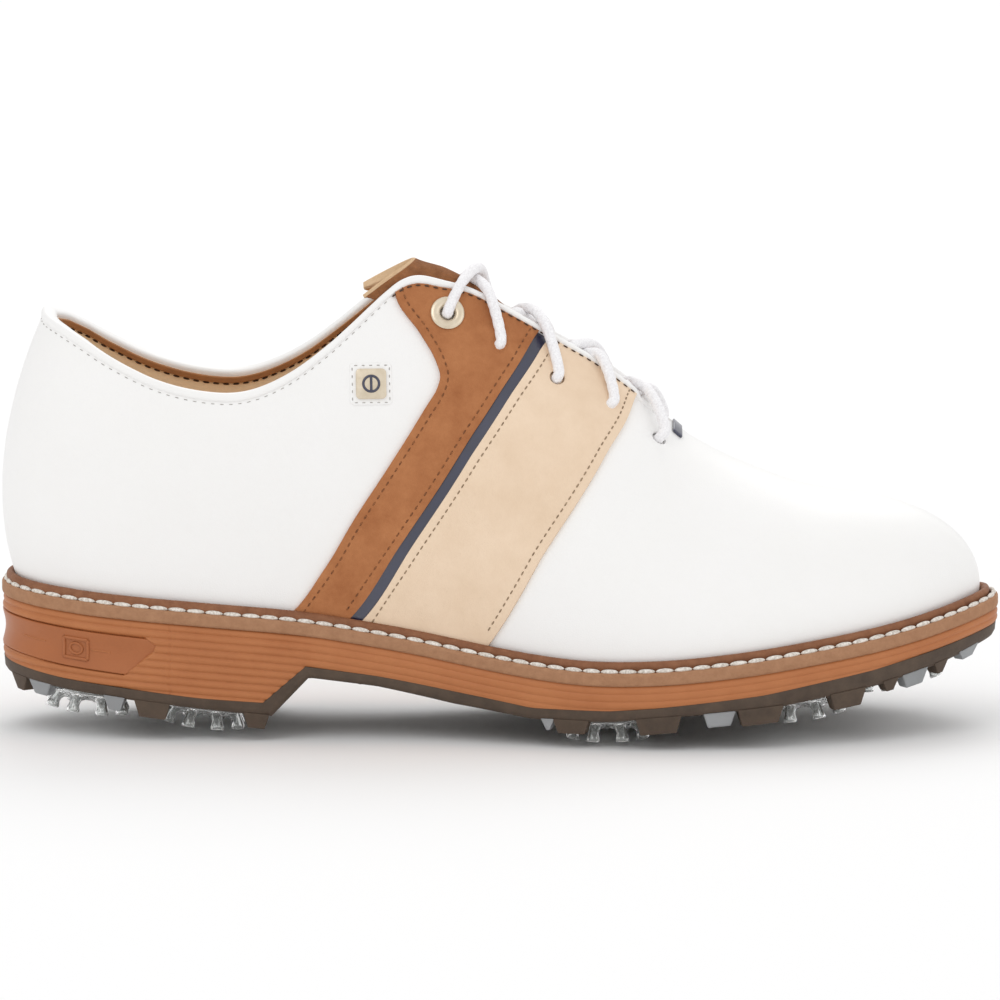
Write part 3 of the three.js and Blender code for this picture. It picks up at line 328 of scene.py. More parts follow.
def new_object(name, verts, faces, material, smooth=True):
    mesh = bpy.data.meshes.new(name)
    mesh.from_pydata(place(verts).tolist(), [], [tuple(int(i) for i in f) for f in faces])
    mesh.validate()
    obj = bpy.data.objects.new(name, mesh)
    bpy.context.scene.collection.objects.link(obj)
    mesh.materials.append(material)
    mesh.polygons.foreach_set("use_smooth", [smooth] * len(mesh.polygons))
    return obj


def settle(obj, body, slot, *nodes):
    """Say where a piece belongs."""
    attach(obj, body)
    if nodes:
        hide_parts(*nodes)
    return obj


def bevel(obj, width, segments=2, angle=35):
    modifier = obj.modifiers.new("edge", "BEVEL")
    modifier.width = width * 0.001
    modifier.segments = segments
    modifier.limit_method = "ANGLE"
    modifier.angle_limit = math.radians(angle)
    modifier.harden_normals = False
    return obj


def bake(obj):
    """Turn an object's modifiers into its mesh."""
    bpy.context.view_layer.update()
    graph = bpy.context.evaluated_depsgraph_get()
    mesh = bpy.data.meshes.new_from_object(obj.evaluated_get(graph))
    obj.modifiers.clear()
    obj.data = mesh
    return obj


def grid_faces(n, m):
    i, j = np.meshgrid(np.arange(n - 1), np.arange(m - 1), indexing="ij")
    faces = np.stack([i * m + j, (i + 1) * m + j, (i + 1) * m + j + 1, i * m + j + 1], -1)
    return faces.reshape(-1, 4)


def ring_faces(rows, sides, closed=False):
    """Quads between rings of points that follow each other."""
    i, j = np.meshgrid(np.arange(rows if closed else rows - 1), np.arange(sides), indexing="ij")
    k, q = (i + 1) % rows, (j + 1) % sides
    quads = np.stack([i * sides + j, i * sides + q, k * sides + q, k * sides + j], -1)
    return quads.reshape(-1, 4)


def end_faces(rows, sides):
    """The two faces that close the ends of a tube of rings."""
    return [list(range(sides))[::-1], [(rows - 1) * sides + j for j in range(sides)]]


def weld(verts, faces, distance=0.02):
    """Merge points closer than a distance and drop faces that vanish."""
    keys = np.round(verts / distance).astype(np.int64)
    _, first, inverse = np.unique(keys, axis=0, return_index=True, return_inverse=True)
    faces = inverse.ravel()[faces]
    kept = []
    for face in faces:
        seen = []
        for i in face:
            if i not in seen:
                seen.append(i)
        if len(seen) > 2:
            kept.append(seen)
    return verts[first], kept


def sheet(grids):
    """One welded surface from grids of places or of points, facing outward."""
    verts, faces = [], []
    start = 0
    for grid in grids:
        points = upper(grid[..., 0], grid[..., 1]) if grid.shape[-1] == 2 else grid
        n, m = points.shape[:2]
        quads = grid_faces(n, m)
        flat = points.reshape(-1, 3)
        a, b, c = flat[quads[:, 0]], flat[quads[:, 1]], flat[quads[:, 2]]
        hub = np.stack([a[:, 0] * 0.9 + 15, np.zeros(len(a)), np.full(len(a), 30.0)], -1)
        if np.sum(np.cross(b - a, c - a) * (a - hub)) < 0:
            quads = quads[:, ::-1]
        verts.append(flat)
        faces.append(quads + start)
        start += n * m
    return weld(np.vstack(verts), np.vstack(faces))


def vertex_normals(verts, faces):
    normals = np.zeros_like(verts)
    for face in faces:
        p = verts[face]
        normal = np.cross(p[1] - p[0], p[2] - p[0])
        if len(face) == 4:
            normal = normal + np.cross(p[2] - p[0], p[3] - p[0])
        normals[face] += normal
    return normals / np.maximum(np.linalg.norm(normals, axis=1), 1e-9)[:, None]


def thick(name, grids, inner, outer, material, edge=0.35):
    """A leather piece: a sheet given thickness between two offsets, with rounded edges."""
    verts, faces = sheet(grids)
    normals = vertex_normals(verts, faces)
    n = len(verts)
    low = inner(verts) if callable(inner) else np.full(n, inner)
    high = outer(verts) if callable(outer) else np.full(n, outer)
    both = np.vstack([verts + normals * high[:, None], verts + normals * low[:, None]])
    edges = {}
    for face in faces:
        for a, b in zip(face, list(face[1:]) + [face[0]]):
            if (b, a) in edges:
                del edges[(b, a)]
            else:
                edges[(a, b)] = True
    solid = [list(face) for face in faces]
    solid += [[i + n for i in reversed(face)] for face in faces]
    solid += [[b, a, a + n, b + n] for a, b in edges]
    obj = new_object(name, both, solid, material)
    if edge:
        bevel(obj, edge)
    return obj


def tube_mesh(path, radius, sides, closed=False, shape=None):
    """Verts and faces of a round tube, with frames carried along the path."""
    path = np.asarray(path, float)
    n = len(path)
    tangent = np.gradient(path, axis=0)
    if closed:
        tangent = np.roll(path, -1, 0) - np.roll(path, 1, 0)
    tangent /= np.linalg.norm(tangent, axis=1)[:, None]
    normal = np.zeros_like(path)
    seed = np.array([0.0, 0.0, 1.0])
    if abs(tangent[0] @ seed) > 0.9:
        seed = np.array([0.0, 1.0, 0.0])
    normal[0] = seed - tangent[0] * (seed @ tangent[0])
    for i in range(1, n):
        normal[i] = normal[i - 1] - tangent[i] * (normal[i - 1] @ tangent[i])
        normal[i] /= np.linalg.norm(normal[i])
    normal[0] /= np.linalg.norm(normal[0])
    binormal = np.cross(tangent, normal)
    angle = np.linspace(0, 2 * np.pi, sides, endpoint=False)
    r = np.broadcast_to(radius if shape is None else shape(np.arange(n)[:, None], angle[None]),
                        (n, sides))
    ring = (path[:, None] + r[..., None] * (np.cos(angle)[None, :, None] * normal[:, None]
                                            + np.sin(angle)[None, :, None] * binormal[:, None]))
    faces = ring_faces(n, sides, closed).tolist()
    if not closed:
        faces += end_faces(n, sides)
    return ring.reshape(-1, 3), faces


def catmull(points, step):
    """Evenly spaced points on a smooth curve through points."""
    points = np.asarray(points, float)
    lengths = np.linalg.norm(np.diff(points, axis=0), axis=1) ** 0.5
    s = np.concatenate([[0], np.cumsum(lengths)])
    curve = table([(a, *b) for a, b in zip(s, points)])
    dense = curve(np.linspace(0, s[-1], 4000))
    run = np.concatenate([[0], np.cumsum(np.linalg.norm(np.diff(dense, axis=0), axis=1))])
    wanted = np.linspace(0, run[-1], max(int(run[-1] / step), 8))
    return np.stack([np.interp(wanted, run, dense[:, k]) for k in range(3)], -1)


def on_line(places, offset):
    """Points and outward normals along a line of places."""
    normal = outward(places[:, 0], places[:, 1])
    return upper(places[:, 0], places[:, 1]) + normal * np.asarray(offset)[..., None], normal


def capsules(path, normals, pitch, length, radius, squash=0.7, ring=8, steps=6, taper=4):
    """A row of stitches: little rounded rods laid along a path, more pointed with a low taper."""
    run = np.concatenate([[0], np.cumsum(np.linalg.norm(np.diff(path, axis=0), axis=1))])
    count = max(int(run[-1] / pitch), 1)
    centres = (np.arange(count) + 0.5) * run[-1] / count
    t = np.linspace(-1, 1, steps)
    angle = np.linspace(0, 2 * np.pi, ring, endpoint=False)
    width = np.sqrt(np.maximum(1 - np.abs(t) ** taper, 0.02))
    verts, faces = [], []
    for k, s in enumerate(centres):
        centre = np.array([np.interp(s, run, path[:, i]) for i in range(3)])
        ahead = np.array([np.interp(s + 0.3, run, path[:, i]) for i in range(3)])
        behind = np.array([np.interp(s - 0.3, run, path[:, i]) for i in range(3)])
        normal = np.array([np.interp(s, run, normals[:, i]) for i in range(3)])
        along = ahead - behind
        along /= np.linalg.norm(along)
        normal -= along * (normal @ along)
        normal /= np.linalg.norm(normal)
        across = np.cross(along, normal)
        body = (centre + along * (t * length / 2)[:, None, None]
                + radius * width[:, None, None] * (
                    np.cos(angle)[None, :, None] * across
                    + squash * np.sin(angle)[None, :, None] * normal))
        start = k * steps * ring
        verts.append(body.reshape(-1, 3))
        faces += (ring_faces(steps, ring)[:, ::-1] + start).tolist()
        faces += [[start + j for j in face[::-1]] for face in end_faces(steps, ring)]
    return np.vstack(verts), faces


def merge(parts):
    verts, faces, start = [], [], 0
    for part_verts, part_faces in parts:
        verts.append(part_verts)
        faces += [[i + start for i in face] for face in part_faces]
        start += len(part_verts)
    return np.vstack(verts), faces


# ---------------------------------------------------------------- materials
def shader(name, **values):
    material = bpy.data.materials.new(name)
    material.use_nodes = True
    tree = material.node_tree
    principled = tree.nodes["Principled BSDF"]
    for key, value in values.items():
        principled.inputs[key].default_value = value
    return material, tree, principled


def add(tree, kind, **values):
    node = tree.nodes.new(kind)
    for key, value in values.items():
        if key in node.inputs:
            node.inputs[key].default_value = value
        else:
            setattr(node, key, value)
    return node


def noise_of(tree, coordinates, scale, detail=4.0, roughness=0.55):
    node = add(tree, "ShaderNodeTexNoise", Scale=scale, Detail=detail, Roughness=roughness)
    tree.links.new(coordinates, node.inputs["Vector"])
    return node.outputs["Fac"]


def ramp_of(tree, factor, stops):
    node = tree.nodes.new("ShaderNodeValToRGB")
    while len(node.color_ramp.elements) < len(stops):
        node.color_ramp.elements.new(0.5)
    for element, (position, colour) in zip(node.color_ramp.elements, stops):
        element.position = position
        element.color = (*colour, 1)
    tree.links.new(factor, node.inputs["Fac"])
    return node.outputs["Color"]


def relief_of(tree, height, strength, distance, below=None):
    """A bump node on top of another one's normal."""
    node = add(tree, "ShaderNodeBump", Strength=strength, Distance=distance)
    tree.links.new(height, node.inputs["Height"])
    if below is not None:
        tree.links.new(below, node.inputs["Normal"])
    return node.outputs["Normal"]


def rgb(r, g, b):
    """Linear colour from a display colour of 0 to 255."""
    return tuple((c / 255 / 12.92) if c <= 10 else ((c / 255 + 0.055) / 1.055) ** 2.4
                 for c in (r, g, b))


def leather(name, light, dark, roughness, mottle, grain, bump, sheen=0.0, crease=0.0, spread=0.3,
            shine=0.2):
    """Leather with mottled colour, a pored grain and slow creases."""
    material, tree, principled = shader(name, Roughness=roughness)
    principled.inputs["Sheen Weight"].default_value = sheen
    principled.inputs["Specular IOR Level"].default_value = shine
    where = add(tree, "ShaderNodeTexCoord").outputs["Object"]
    colour = ramp_of(tree, noise_of(tree, where, mottle, 6.0, 0.7),
                     [(0.5 - spread, dark), (0.5 + spread, light)])
    tree.links.new(colour, principled.inputs["Base Color"])
    pores = add(tree, "ShaderNodeTexVoronoi", Scale=grain)
    pores.feature = "DISTANCE_TO_EDGE"
    tree.links.new(where, pores.inputs["Vector"])
    fine = noise_of(tree, where, grain * 2.2, 3.0)
    slow = noise_of(tree, where, mottle * 1.6, 3.0)
    relief = relief_of(tree, pores.outputs["Distance"], bump, 0.00025)
    relief = relief_of(tree, fine, bump * 0.8, 0.0002, relief)
    relief = relief_of(tree, slow, crease, 0.002, relief)
    tree.links.new(relief, principled.inputs["Normal"])
    return material


def moulded(name, light, dark, roughness, scale=180.0, bump=0.25, shine=0.35, **values):
    """Moulded rubber or plastic with slight cloudiness and a fine surface."""
    material, tree, principled = shader(name, Roughness=roughness, **values)
    principled.inputs["Specular IOR Level"].default_value = shine
    where = add(tree, "ShaderNodeTexCoord").outputs["Object"]
    colour = ramp_of(tree, noise_of(tree, where, scale, 5.0, 0.65), [(0.3, dark), (0.7, light)])
    tree.links.new(colour, principled.inputs["Base Color"])
    relief = relief_of(tree, noise_of(tree, where, scale * 8, 3.0), bump, 0.0002)
    tree.links.new(relief, principled.inputs["Normal"])
    return material


def thread(name, light, dark, scale=2600.0):
    material, tree, principled = shader(name, Roughness=0.8)
    where = add(tree, "ShaderNodeTexCoord").outputs["Object"]
    colour = ramp_of(tree, noise_of(tree, where, scale, 3.0), [(0.3, dark), (0.65, light)])
    tree.links.new(colour, principled.inputs["Base Color"])
    relief = relief_of(tree, noise_of(tree, where, scale * 1.5, 2.0), 0.5, 0.0001)
    tree.links.new(relief, principled.inputs["Normal"])
    return material


WHITE = leather("white_leather", rgb(246, 245, 244), rgb(243, 242, 240), 0.42, 26, 1500, 0.16,
                crease=0.14, shine=0.5)
TAN = leather("tan_nubuck", rgb(190, 128, 84), rgb(160, 99, 60), 0.8, 90, 2600, 0.5, spread=0.24)
BEIGE = leather("beige_nubuck", rgb(241, 217, 191), rgb(230, 204, 176), 0.8, 70, 2600, 0.4,
                spread=0.24)
# The lining's colours carry painted light: paler than the leather itself, to lift the shade that
# falls inside the shoe.
LINING_PAINTED_LIGHT = leather("lining_leather", rgb(252, 228, 192), rgb(246, 214, 176), 0.6, 60, 1400, 0.3)
FOOTBED = leather("footbed_leather", rgb(246, 216, 176), rgb(236, 200, 160), 0.6, 50, 1400, 0.3)
BROWN = leather("brown_leather", rgb(176, 122, 78), rgb(152, 101, 62), 0.55, 80, 1600, 0.35)
SUEDE = leather("brown_suede", rgb(180, 120, 76), rgb(138, 88, 52), 0.95, 240, 5200, 1.0,
                sheen=0.1, spread=0.2)
RAW_EDGE = leather("raw_edge", rgb(240, 208, 170), rgb(222, 184, 142), 0.9, 300, 5200, 0.8)
GRIP = leather("grip_suede", rgb(244, 214, 172), rgb(230, 196, 152), 0.95, 160, 5200, 0.9, sheen=0.4)
RIB = leather("rib_leather", rgb(156, 108, 78), rgb(118, 74, 50), 0.55, 240, 2200, 0.6)
WELT = leather("welt_leather", rgb(186, 141, 108), rgb(158, 114, 84), 0.7, 420, 2600, 0.7)
MIDSOLE = moulded("midsole_stack", rgb(184, 117, 71), rgb(174, 107, 63), 0.5, 60, 0.15)
PANEL = moulded("heel_panel", rgb(172, 104, 62), rgb(165, 98, 58), 0.42, 60, 0.1)
RUBBER = moulded("outsole_rubber", rgb(90, 75, 62), rgb(72, 59, 49), 0.62, 140, 0.4)
CLEAR = moulded("clear_tpu", (0.82, 0.84, 0.83), (0.72, 0.74, 0.73), 0.1, 60, 0.05,
                **{"Transmission Weight": 0.82, "IOR": 1.42})
CLEAR_LUG = moulded("clear_lug", (0.46, 0.47, 0.48), (0.38, 0.39, 0.4), 0.3, 60, 0.1,
                    **{"Transmission Weight": 0.35, "IOR": 1.42})
NAVY = moulded("navy_patent", rgb(26, 30, 66), rgb(18, 22, 52), 0.3, 120, 0.1, shine=0.9,
               **{"Coat Weight": 0.6, "Coat Roughness": 0.1})
METAL = moulded("champagne_metal", rgb(232, 219, 198), rgb(214, 199, 174), 0.28, 300, 0.1,
                Metallic=0.75)
DARK_THREAD = thread("dark_thread", rgb(92, 66, 50), rgb(40, 28, 22))
BROWN_THREAD = thread("brown_thread", rgb(150, 94, 50), rgb(84, 48, 26), 1400)
TAUPE_THREAD = thread("taupe_thread", rgb(168, 144, 116), rgb(118, 98, 78))
GREY_THREAD = thread("grey_thread", rgb(196, 193, 188), rgb(140, 136, 132))
WHITE_THREAD = thread("white_thread", rgb(238, 232, 224), rgb(186, 176, 164), 1500)
LACE = thread("lace_cotton", rgb(250, 249, 250), rgb(232, 230, 232), 1800)
BOARD = moulded("fibre_board", rgb(190, 166, 134), rgb(168, 142, 110), 0.9, 300, 0.5)
CORK = moulded("cork", rgb(176, 130, 84), rgb(120, 80, 48), 0.95, 420, 0.8)
STEEL = moulded("shank_steel", rgb(150, 154, 160), rgb(130, 134, 140), 0.4, 300, 0.1, Metallic=0.9)


# ---------------------------------------------------------------- upper
def cutters(side, radius):
    """Punches for the eyelet holes of one side, as one hidden mesh."""
    parts = []
    for x, z in EYELETS:
        spot = locate(x, z, 2, side)
        centre, normal = on_line(spot, np.zeros(1))
        line = centre[0] + normal[0] * np.linspace(-8, 6, 3)[:, None]
        parts.append(tube_mesh(line, radius, 24))
    verts, faces = merge(parts)
    return new_object(f"punch_{side}", verts, faces, WHITE)


PUNCH = {side: cutters(side, 2.35) for side in (LATERAL, MEDIAL)}


def punch(obj, *sides):
    """Cut the eyelet holes, before the edges are rounded."""
    for side in sides:
        cut = obj.modifiers.new("punch", "BOOLEAN")
        cut.object = PUNCH[side]
        cut.operation = "DIFFERENCE"
        cut.solver = "FAST"
    if obj.modifiers[0].type == "BEVEL":
        obj.modifiers.move(0, len(obj.modifiers) - 1)
    return bake(obj)


RIMS_IN = {side: rim(side, 1.6) for side in (LATERAL, MEDIAL)}
HEEL_SEAM = 0.00012


def quarter_grid(side, columns, rows, top):
    seam = edge_on(side, VAMP_SEAM)
    line = cut_line(top, high=upper(*seam[-1])[0] + 8)
    start = np.array([heel_u(side) - side * HEEL_SEAM, 0.0])
    first = np.array([start[0], line[0][1]])
    foot = np.array([seam[0][0], 0.0])
    u = np.linspace(start[0], foot[0], columns + 1)
    return coons(
        refine([start, first], rows),
        refine(np.vstack([[foot], seam, line[-1:]]), rows),
        np.stack([u, np.zeros_like(u)], -1),
        refine(np.vstack([[first], line[8::12], line[-1:]]), columns),
    )


def vamp_grid(side, columns, rows, top):
    seam = edge_on(side, [(x + 0.35, z) for x, z in VAMP_SEAM])
    edge = cut_line(top, low=upper(*seam[-1])[0] + 8)
    edge_columns = columns // 5
    x = THROAT_X + 2.5 + (287 - THROAT_X - 2.5) * np.linspace(0, 1, columns - edge_columns) ** 0.85
    ridge_u = outline_at(side, x)
    ridge_u[-1] = TOE_U
    ridge = np.stack([ridge_u, np.ones_like(ridge_u)], -1)
    t = 1 - (1 - np.linspace(0, 1, columns + 1)) ** 1.3
    low = np.stack([seam[0][0] + (TOE_U - seam[0][0]) * t, np.zeros(columns + 1)], -1)
    toe = np.stack([np.full(rows + 1, TOE_U), np.linspace(0, 1, rows + 1)], -1)
    return coons(
        refine(np.vstack([[[seam[0][0], 0]], seam, edge[:1]]), rows),
        toe, low, np.vstack([refine(edge[::10], edge_columns), ridge]),
    )


def build_base():
    for name, side in SIDES.items():
        grid = quarter_grid(side, 120, 60, RIMS_IN[side])
        obj = thick(f"white_quarter_{name}", [grid], -LEATHER, 0.0, WHITE)
        settle(punch(obj, side), "shoe", "white_leather", f"quarter_{name}")
    grids = [vamp_grid(side, 130, 64, RIMS_IN[side]) for side in SIDES.values()]
    obj = thick("white_vamp", grids, -LEATHER, 0.0, WHITE)
    settle(punch(obj, LATERAL, MEDIAL), "shoe", "white_leather", "vamp")


def foot_u(side, line):
    """Where a line of places meets the featherline when it runs straight on."""
    (x, _, z), (next_x, _, next_z) = upper(line[:2, 0], line[:2, 1])
    gap = z - float(welt_top(x)) - FOOT_GAP
    return outline_at(side, x - gap * (next_x - x) / (next_z - z))


def overlay_band(side, rear, front, top, columns, rows):
    foot = 0.004
    left = np.vstack([[[foot_u(side, rear), foot]], rear])
    right = np.vstack([[[foot_u(side, front), foot]], front])
    u = np.linspace(left[0][0], right[0][0], columns + 1)
    return coons(refine(left, rows), refine(right, rows),
                 np.stack([u, np.full_like(u, foot)], -1), refine(top, columns))


OVERLAY_TOP = 1.25


SADDLE_ENDS = (117.5, 161.6)    # where the saddle, and then the panel, meet the topline
PANEL_ENDS = (164.9, 190.5)
TUCK_BACK, TUCK_FRONT = 1.5, 0.8    # how far the stripe runs under the saddle and the panel


def top_of(side, low, high):
    """The topline between two values of x, a little below the rim."""
    line = cut_line(rim(side, 0.9), low, high)
    return line[np.linspace(0, len(line) - 1, 9).astype(int)]


def band_edges(side, rear, front, top, back=0.0, ahead=0.0):
    """The rear and front edges of an overlay, moved along x and joined to its top."""
    left = edge_on(side, [(x - back, z) for x, z in rear])
    right = edge_on(side, [(x + ahead, z) for x, z in front])
    return np.vstack([left, top[:1]]), np.vstack([right, top[-1:]])


def build_overlays():
    lines = {}
    for name, side in SIDES.items():
        top = top_of(side, *SADDLE_ENDS)
        saddle = band_edges(side, SADDLE_REAR, SADDLE_FRONT, top)
        obj = thick(f"tan_saddle_{name}", [overlay_band(side, *saddle, top, 40, 110)],
                    0.03, OVERLAY_TOP, TAN)
        settle(punch(obj, side), "shoe", "tan_leather", f"saddle_{name}")
        top = top_of(side, SADDLE_ENDS[1] - TUCK_BACK, PANEL_ENDS[0] + TUCK_FRONT)
        stripe = band_edges(side, SADDLE_FRONT, STRIPE_FRONT, top, TUCK_BACK, TUCK_FRONT)
        obj = thick(f"navy_stripe_{name}", [overlay_band(side, *stripe, top, 8, 110)],
                    0.01, 0.5, NAVY, edge=0.15)
        settle(obj, "shoe", "navy_leather", f"stripe_{name}")
        top = top_of(side, *PANEL_ENDS)
        panel = band_edges(side, STRIPE_FRONT, PANEL_FRONT, top)
        obj = thick(f"beige_panel_{name}", [overlay_band(side, *panel, top, 46, 110)],
                    0.03, OVERLAY_TOP, BEIGE)
        settle(punch(obj, side), "shoe", "beige_leather", f"panel_{name}")
        lines[side] = saddle, panel
    return lines


def inset_line(line, distance, towards):
    """Move a line of places sideways over the surface by a distance."""
    line = refine(line, 160)
    points, normal = on_line(line, np.zeros(len(line)))
    along = np.gradient(points, axis=0)
    across = np.cross(normal, along)
    across /= np.linalg.norm(across, axis=1)[:, None]
    if np.mean(across[:, 0]) * towards < 0:
        across = -across
    return points + across * distance, normal


def stitch_piece(name, rows, material, slot, body="shoe", pitch=2.75, length=2.05, radius=0.3):
    parts = [capsules(path, normal, pitch, length, radius) for path, normal in rows]
    verts, faces = merge(parts)
    return settle(new_object(name, verts, faces, material), body, slot)


def seam_rows(edges, distance):
    """Rows for the stitches along the rear and front edges of an overlay."""
    rows = []
    for edge, towards in zip(edges, (1, -1)):
        path, normal = inset_line(edge, distance, towards)
        rows.append((path + normal * (OVERLAY_TOP + 0.02), normal))
    return rows


def build_seams(lines):
    for name, side in SIDES.items():
        saddle, panel = lines[side]
        stitch_piece(f"saddle_stitches_{name}", seam_rows(saddle, 2.4), BROWN_THREAD,
                     "stitch_thread", pitch=2.4, length=1.55, radius=0.25)
        stitch_piece(f"panel_stitches_{name}", seam_rows(panel, 2.6), TAUPE_THREAD,
                     "stitch_thread", pitch=2.2, length=1.45, radius=0.24)


def over_panels(points):
    """How far the overlays lift the topline at each point."""
    x = points[:, 0]
    return smoothstep(x, 116, 119.5) * (1 - smoothstep(x, 189, 192)) * OVERLAY_TOP


BINDING_HEIGHT = 3.1
BINDING_SIDES = 28


def build_binding():
    """Folded white binding: an oval section swept round the opening and the facings."""
    along = []
    for side in (LATERAL, MEDIAL):
        line = refine(rim(side, 0.0), 330)
        centre, normal = on_line(line, np.zeros(len(line)))
        lower = upper(line[:, 0], line[:, 1] - 0.01)
        up = centre - lower
        up -= normal * np.sum(up * normal, axis=1)[:, None]
        up /= np.linalg.norm(up, axis=1)[:, None]
        along.append((centre, normal, up))
    centre, normal, up = (np.vstack([along[0][k][::-1], along[1][k][1:]]) for k in range(3))
    for _ in range(10):
        normal[1:-1] = (normal[:-2] + 2 * normal[1:-1] + normal[2:]) / 4
        up[1:-1] = (up[:-2] + 2 * up[1:-1] + up[2:]) / 4
    normal /= np.linalg.norm(normal, axis=1)[:, None]
    up /= np.linalg.norm(up, axis=1)[:, None]
    outer = 0.75 + over_panels(centre)
    inner = -4.0
    tall = BINDING_HEIGHT - 0.8 * smoothstep(centre[:, 0], 128, 140)
    middle = centre + normal * ((outer + inner) / 2)[:, None] - up * (tall / 2)[:, None]
    half = (outer - inner) / 2
    angle = np.linspace(0, 2 * np.pi, BINDING_SIDES, endpoint=False)
    cos = np.sign(np.cos(angle)) * np.abs(np.cos(angle)) ** 0.65
    sin = np.sign(np.sin(angle)) * np.abs(np.sin(angle)) ** 0.65
    ring = (middle[:, None] + half[:, None, None] * cos[None, :, None] * normal[:, None]
            + (tall / 2)[:, None, None] * sin[None, :, None] * up[:, None])
    size = len(centre), BINDING_SIDES
    faces = ring_faces(*size).tolist() + end_faces(*size)
    obj = new_object("binding", ring.reshape(-1, 3), faces, WHITE)
    settle(obj, "shoe", "white_leather", "topline_binding")
    edge = centre - up * (tall + 0.45)[:, None] + normal * (0.03 + over_panels(centre))[:, None]
    on_panels = (centre[:, 0] > 117) & (centre[:, 0] < 190)
    cuts = np.flatnonzero(np.diff(on_panels.astype(int))) + 1
    pieces = np.split(np.arange(len(edge)), cuts)
    plain = [(edge[k], normal[k]) for k in pieces if not on_panels[k[0]] and len(k) > 12]
    bold = [(edge[k], normal[k]) for k in pieces if on_panels[k[0]]]
    stitch_piece("topline_stitches", plain, GREY_THREAD, "stitch_thread",
                 pitch=2.7, length=1.2, radius=0.13)
    stitch_piece("facing_stitches", bold, DARK_THREAD, "stitch_thread",
                 pitch=2.7, length=1.6, radius=0.26)


# ---------------------------------------------------------------- lining
BAND_DEPTH = 1.8                # of the brown band inside the collar


def build_lining():
    grids = []
    for side in SIDES.values():
        grids.append(quarter_grid(side, 100, 40, rim(side, 2.0)))
        grids[-1][0, :, 0] = heel_u(side)
    obj = thick("quarter_lining_leather", grids, -4.0, -2.9, LINING_PAINTED_LIGHT, edge=0)
    settle(punch(obj, LATERAL, MEDIAL), "shoe", "lining_leather", "quarter_lining")
    band, stitches = [], []
    for side in SIDES.values():
        line = refine(cut_line(rim(side, 2.0), high=128), 180)
        height = upper(line[:, 0], line[:, 1])[:, 2]
        lower = upper(line[:, 0], line[:, 1] - 0.02)[:, 2]
        per_mm = 0.02 / np.maximum(height - lower, 0.4)
        grid = np.stack([np.stack([line[:, 0], line[:, 1] - per_mm * BAND_DEPTH * d], -1)
                         for d in np.linspace(0, 1, 7)], 1)
        grid[0, :, 0] = heel_u(side)
        band.append(grid)
        place_line = np.stack([line[:, 0], line[:, 1] - per_mm * (BAND_DEPTH + 0.5)], -1)
        points, normal = on_line(place_line, np.full(len(line), -4.1))
        stitches.append((points, -normal))
    obj = thick("lining_band", band, -4.9, -3.9, BROWN, edge=0.2)
    settle(obj, "shoe", "brown_leather")
    stitch_piece("lining_stitches", stitches, DARK_THREAD, "stitch_thread", pitch=3.0)


def rib_grid(us, low, high, rows):
    t = np.linspace(0, 1, rows + 1)[None]
    v = low + (np.asarray(high)[:, None] - low) * t
    return np.stack([np.repeat(us[:, None], rows + 1, 1), v], -1)


GRIP_REACH = 0.064


def build_heel_grip():
    us = np.linspace(-GRIP_REACH, GRIP_REACH, 72)
    edge = rim(LATERAL, 6.4)
    shape = np.interp(np.abs(us), edge[:, 0], edge[:, 1])
    obj = thick("heel_grip_suede", [rib_grid(us, 0.12, shape, 30)], -5.6, -4.1, GRIP, edge=0.3)
    settle(obj, "shoe", "suede", "heel_grip")
    rows = []
    for share in (-0.97, -0.91, 0.91, 0.97):
        u = share * GRIP_REACH
        v = np.linspace(0.13, np.interp(abs(u), edge[:, 0], edge[:, 1]) - 0.01, 60)
        points, normal = on_line(np.stack([np.full(60, u), v], -1), np.full(60, -5.65))
        rows.append((points, -normal))
    stitch_piece("heel_grip_stitches", rows, DARK_THREAD, "stitch_thread")


# ---------------------------------------------------------------- tongue
TONGUE_BACK, TONGUE_FRONT = 124.5, 206.0
TONGUE_SINK = 9.5               # the tongue's depth under the facings
TONGUE_EDGE = 10.5              # its side edges lie this far inside the upper
TONGUE_SWELL = 7.9              # how far it pushes up again in the gap between them


def tongue_grid(lift, columns=100, rows=72):
    """An arch under the facings whose crown swells up in the gap between them."""
    i = np.linspace(0, 1, columns + 1)
    x = TONGUE_FRONT + (TONGUE_BACK - TONGUE_FRONT) * i
    crown = upper(outline_at(LATERAL, x), np.ones_like(x))
    crown[:, 0] = x
    crown[:, 2] += lift - TONGUE_SINK - 1.6 * smoothstep(134 - x, 0, 10)
    recede = 15 * smoothstep(i, 0.6, 1.0)
    side_x = x - recede
    edge_v = 0.66 - 0.04 * i
    depth = TONGUE_EDGE - 5.3 * smoothstep(i, 0.75, 1.0) - lift
    ends = {}
    for side in (LATERAL, MEDIAL):
        u = outline_at(side, side_x)
        ends[side] = upper(u, edge_v) - outward(u, edge_v) * depth[:, None]
    angle = 0.62 * np.linspace(1, -1, rows + 1)
    across = np.abs(np.sin(angle)) / math.sin(0.62)
    down = (1 - np.cos(angle)) / (1 - math.cos(0.62))
    end = np.where((angle > 0)[None, :, None], ends[MEDIAL][:, None], ends[LATERAL][:, None])
    grid = np.zeros((columns + 1, rows + 1, 3))
    for k in (0, 1):
        grid[..., k] = crown[:, None, k] + (end[..., k] - crown[:, None, k]) * across[None]
    grid[..., 0] = x[:, None] - recede[:, None] * down[None]
    grid[..., 2] = crown[:, None, 2] + (end[..., 2] - crown[:, None, 2]) * down[None]
    off_centre = np.abs(grid[..., 1] - ridge_y(x)[:, None])
    free = smoothstep(138 - x, 0, 12)[:, None]
    arch = smoothstep(131 - x, 0, 6)[:, None]
    bump = 1 - smoothstep(off_centre - 6 * free, 2.2, 7.6 + 3 * free + 9 * arch)
    fade = 1 - smoothstep(x, 192, 204)
    swell = TONGUE_SWELL - 2.4 * smoothstep(x, 146, 160)
    grid[..., 2] += bump * (swell * fade)[:, None]
    return grid


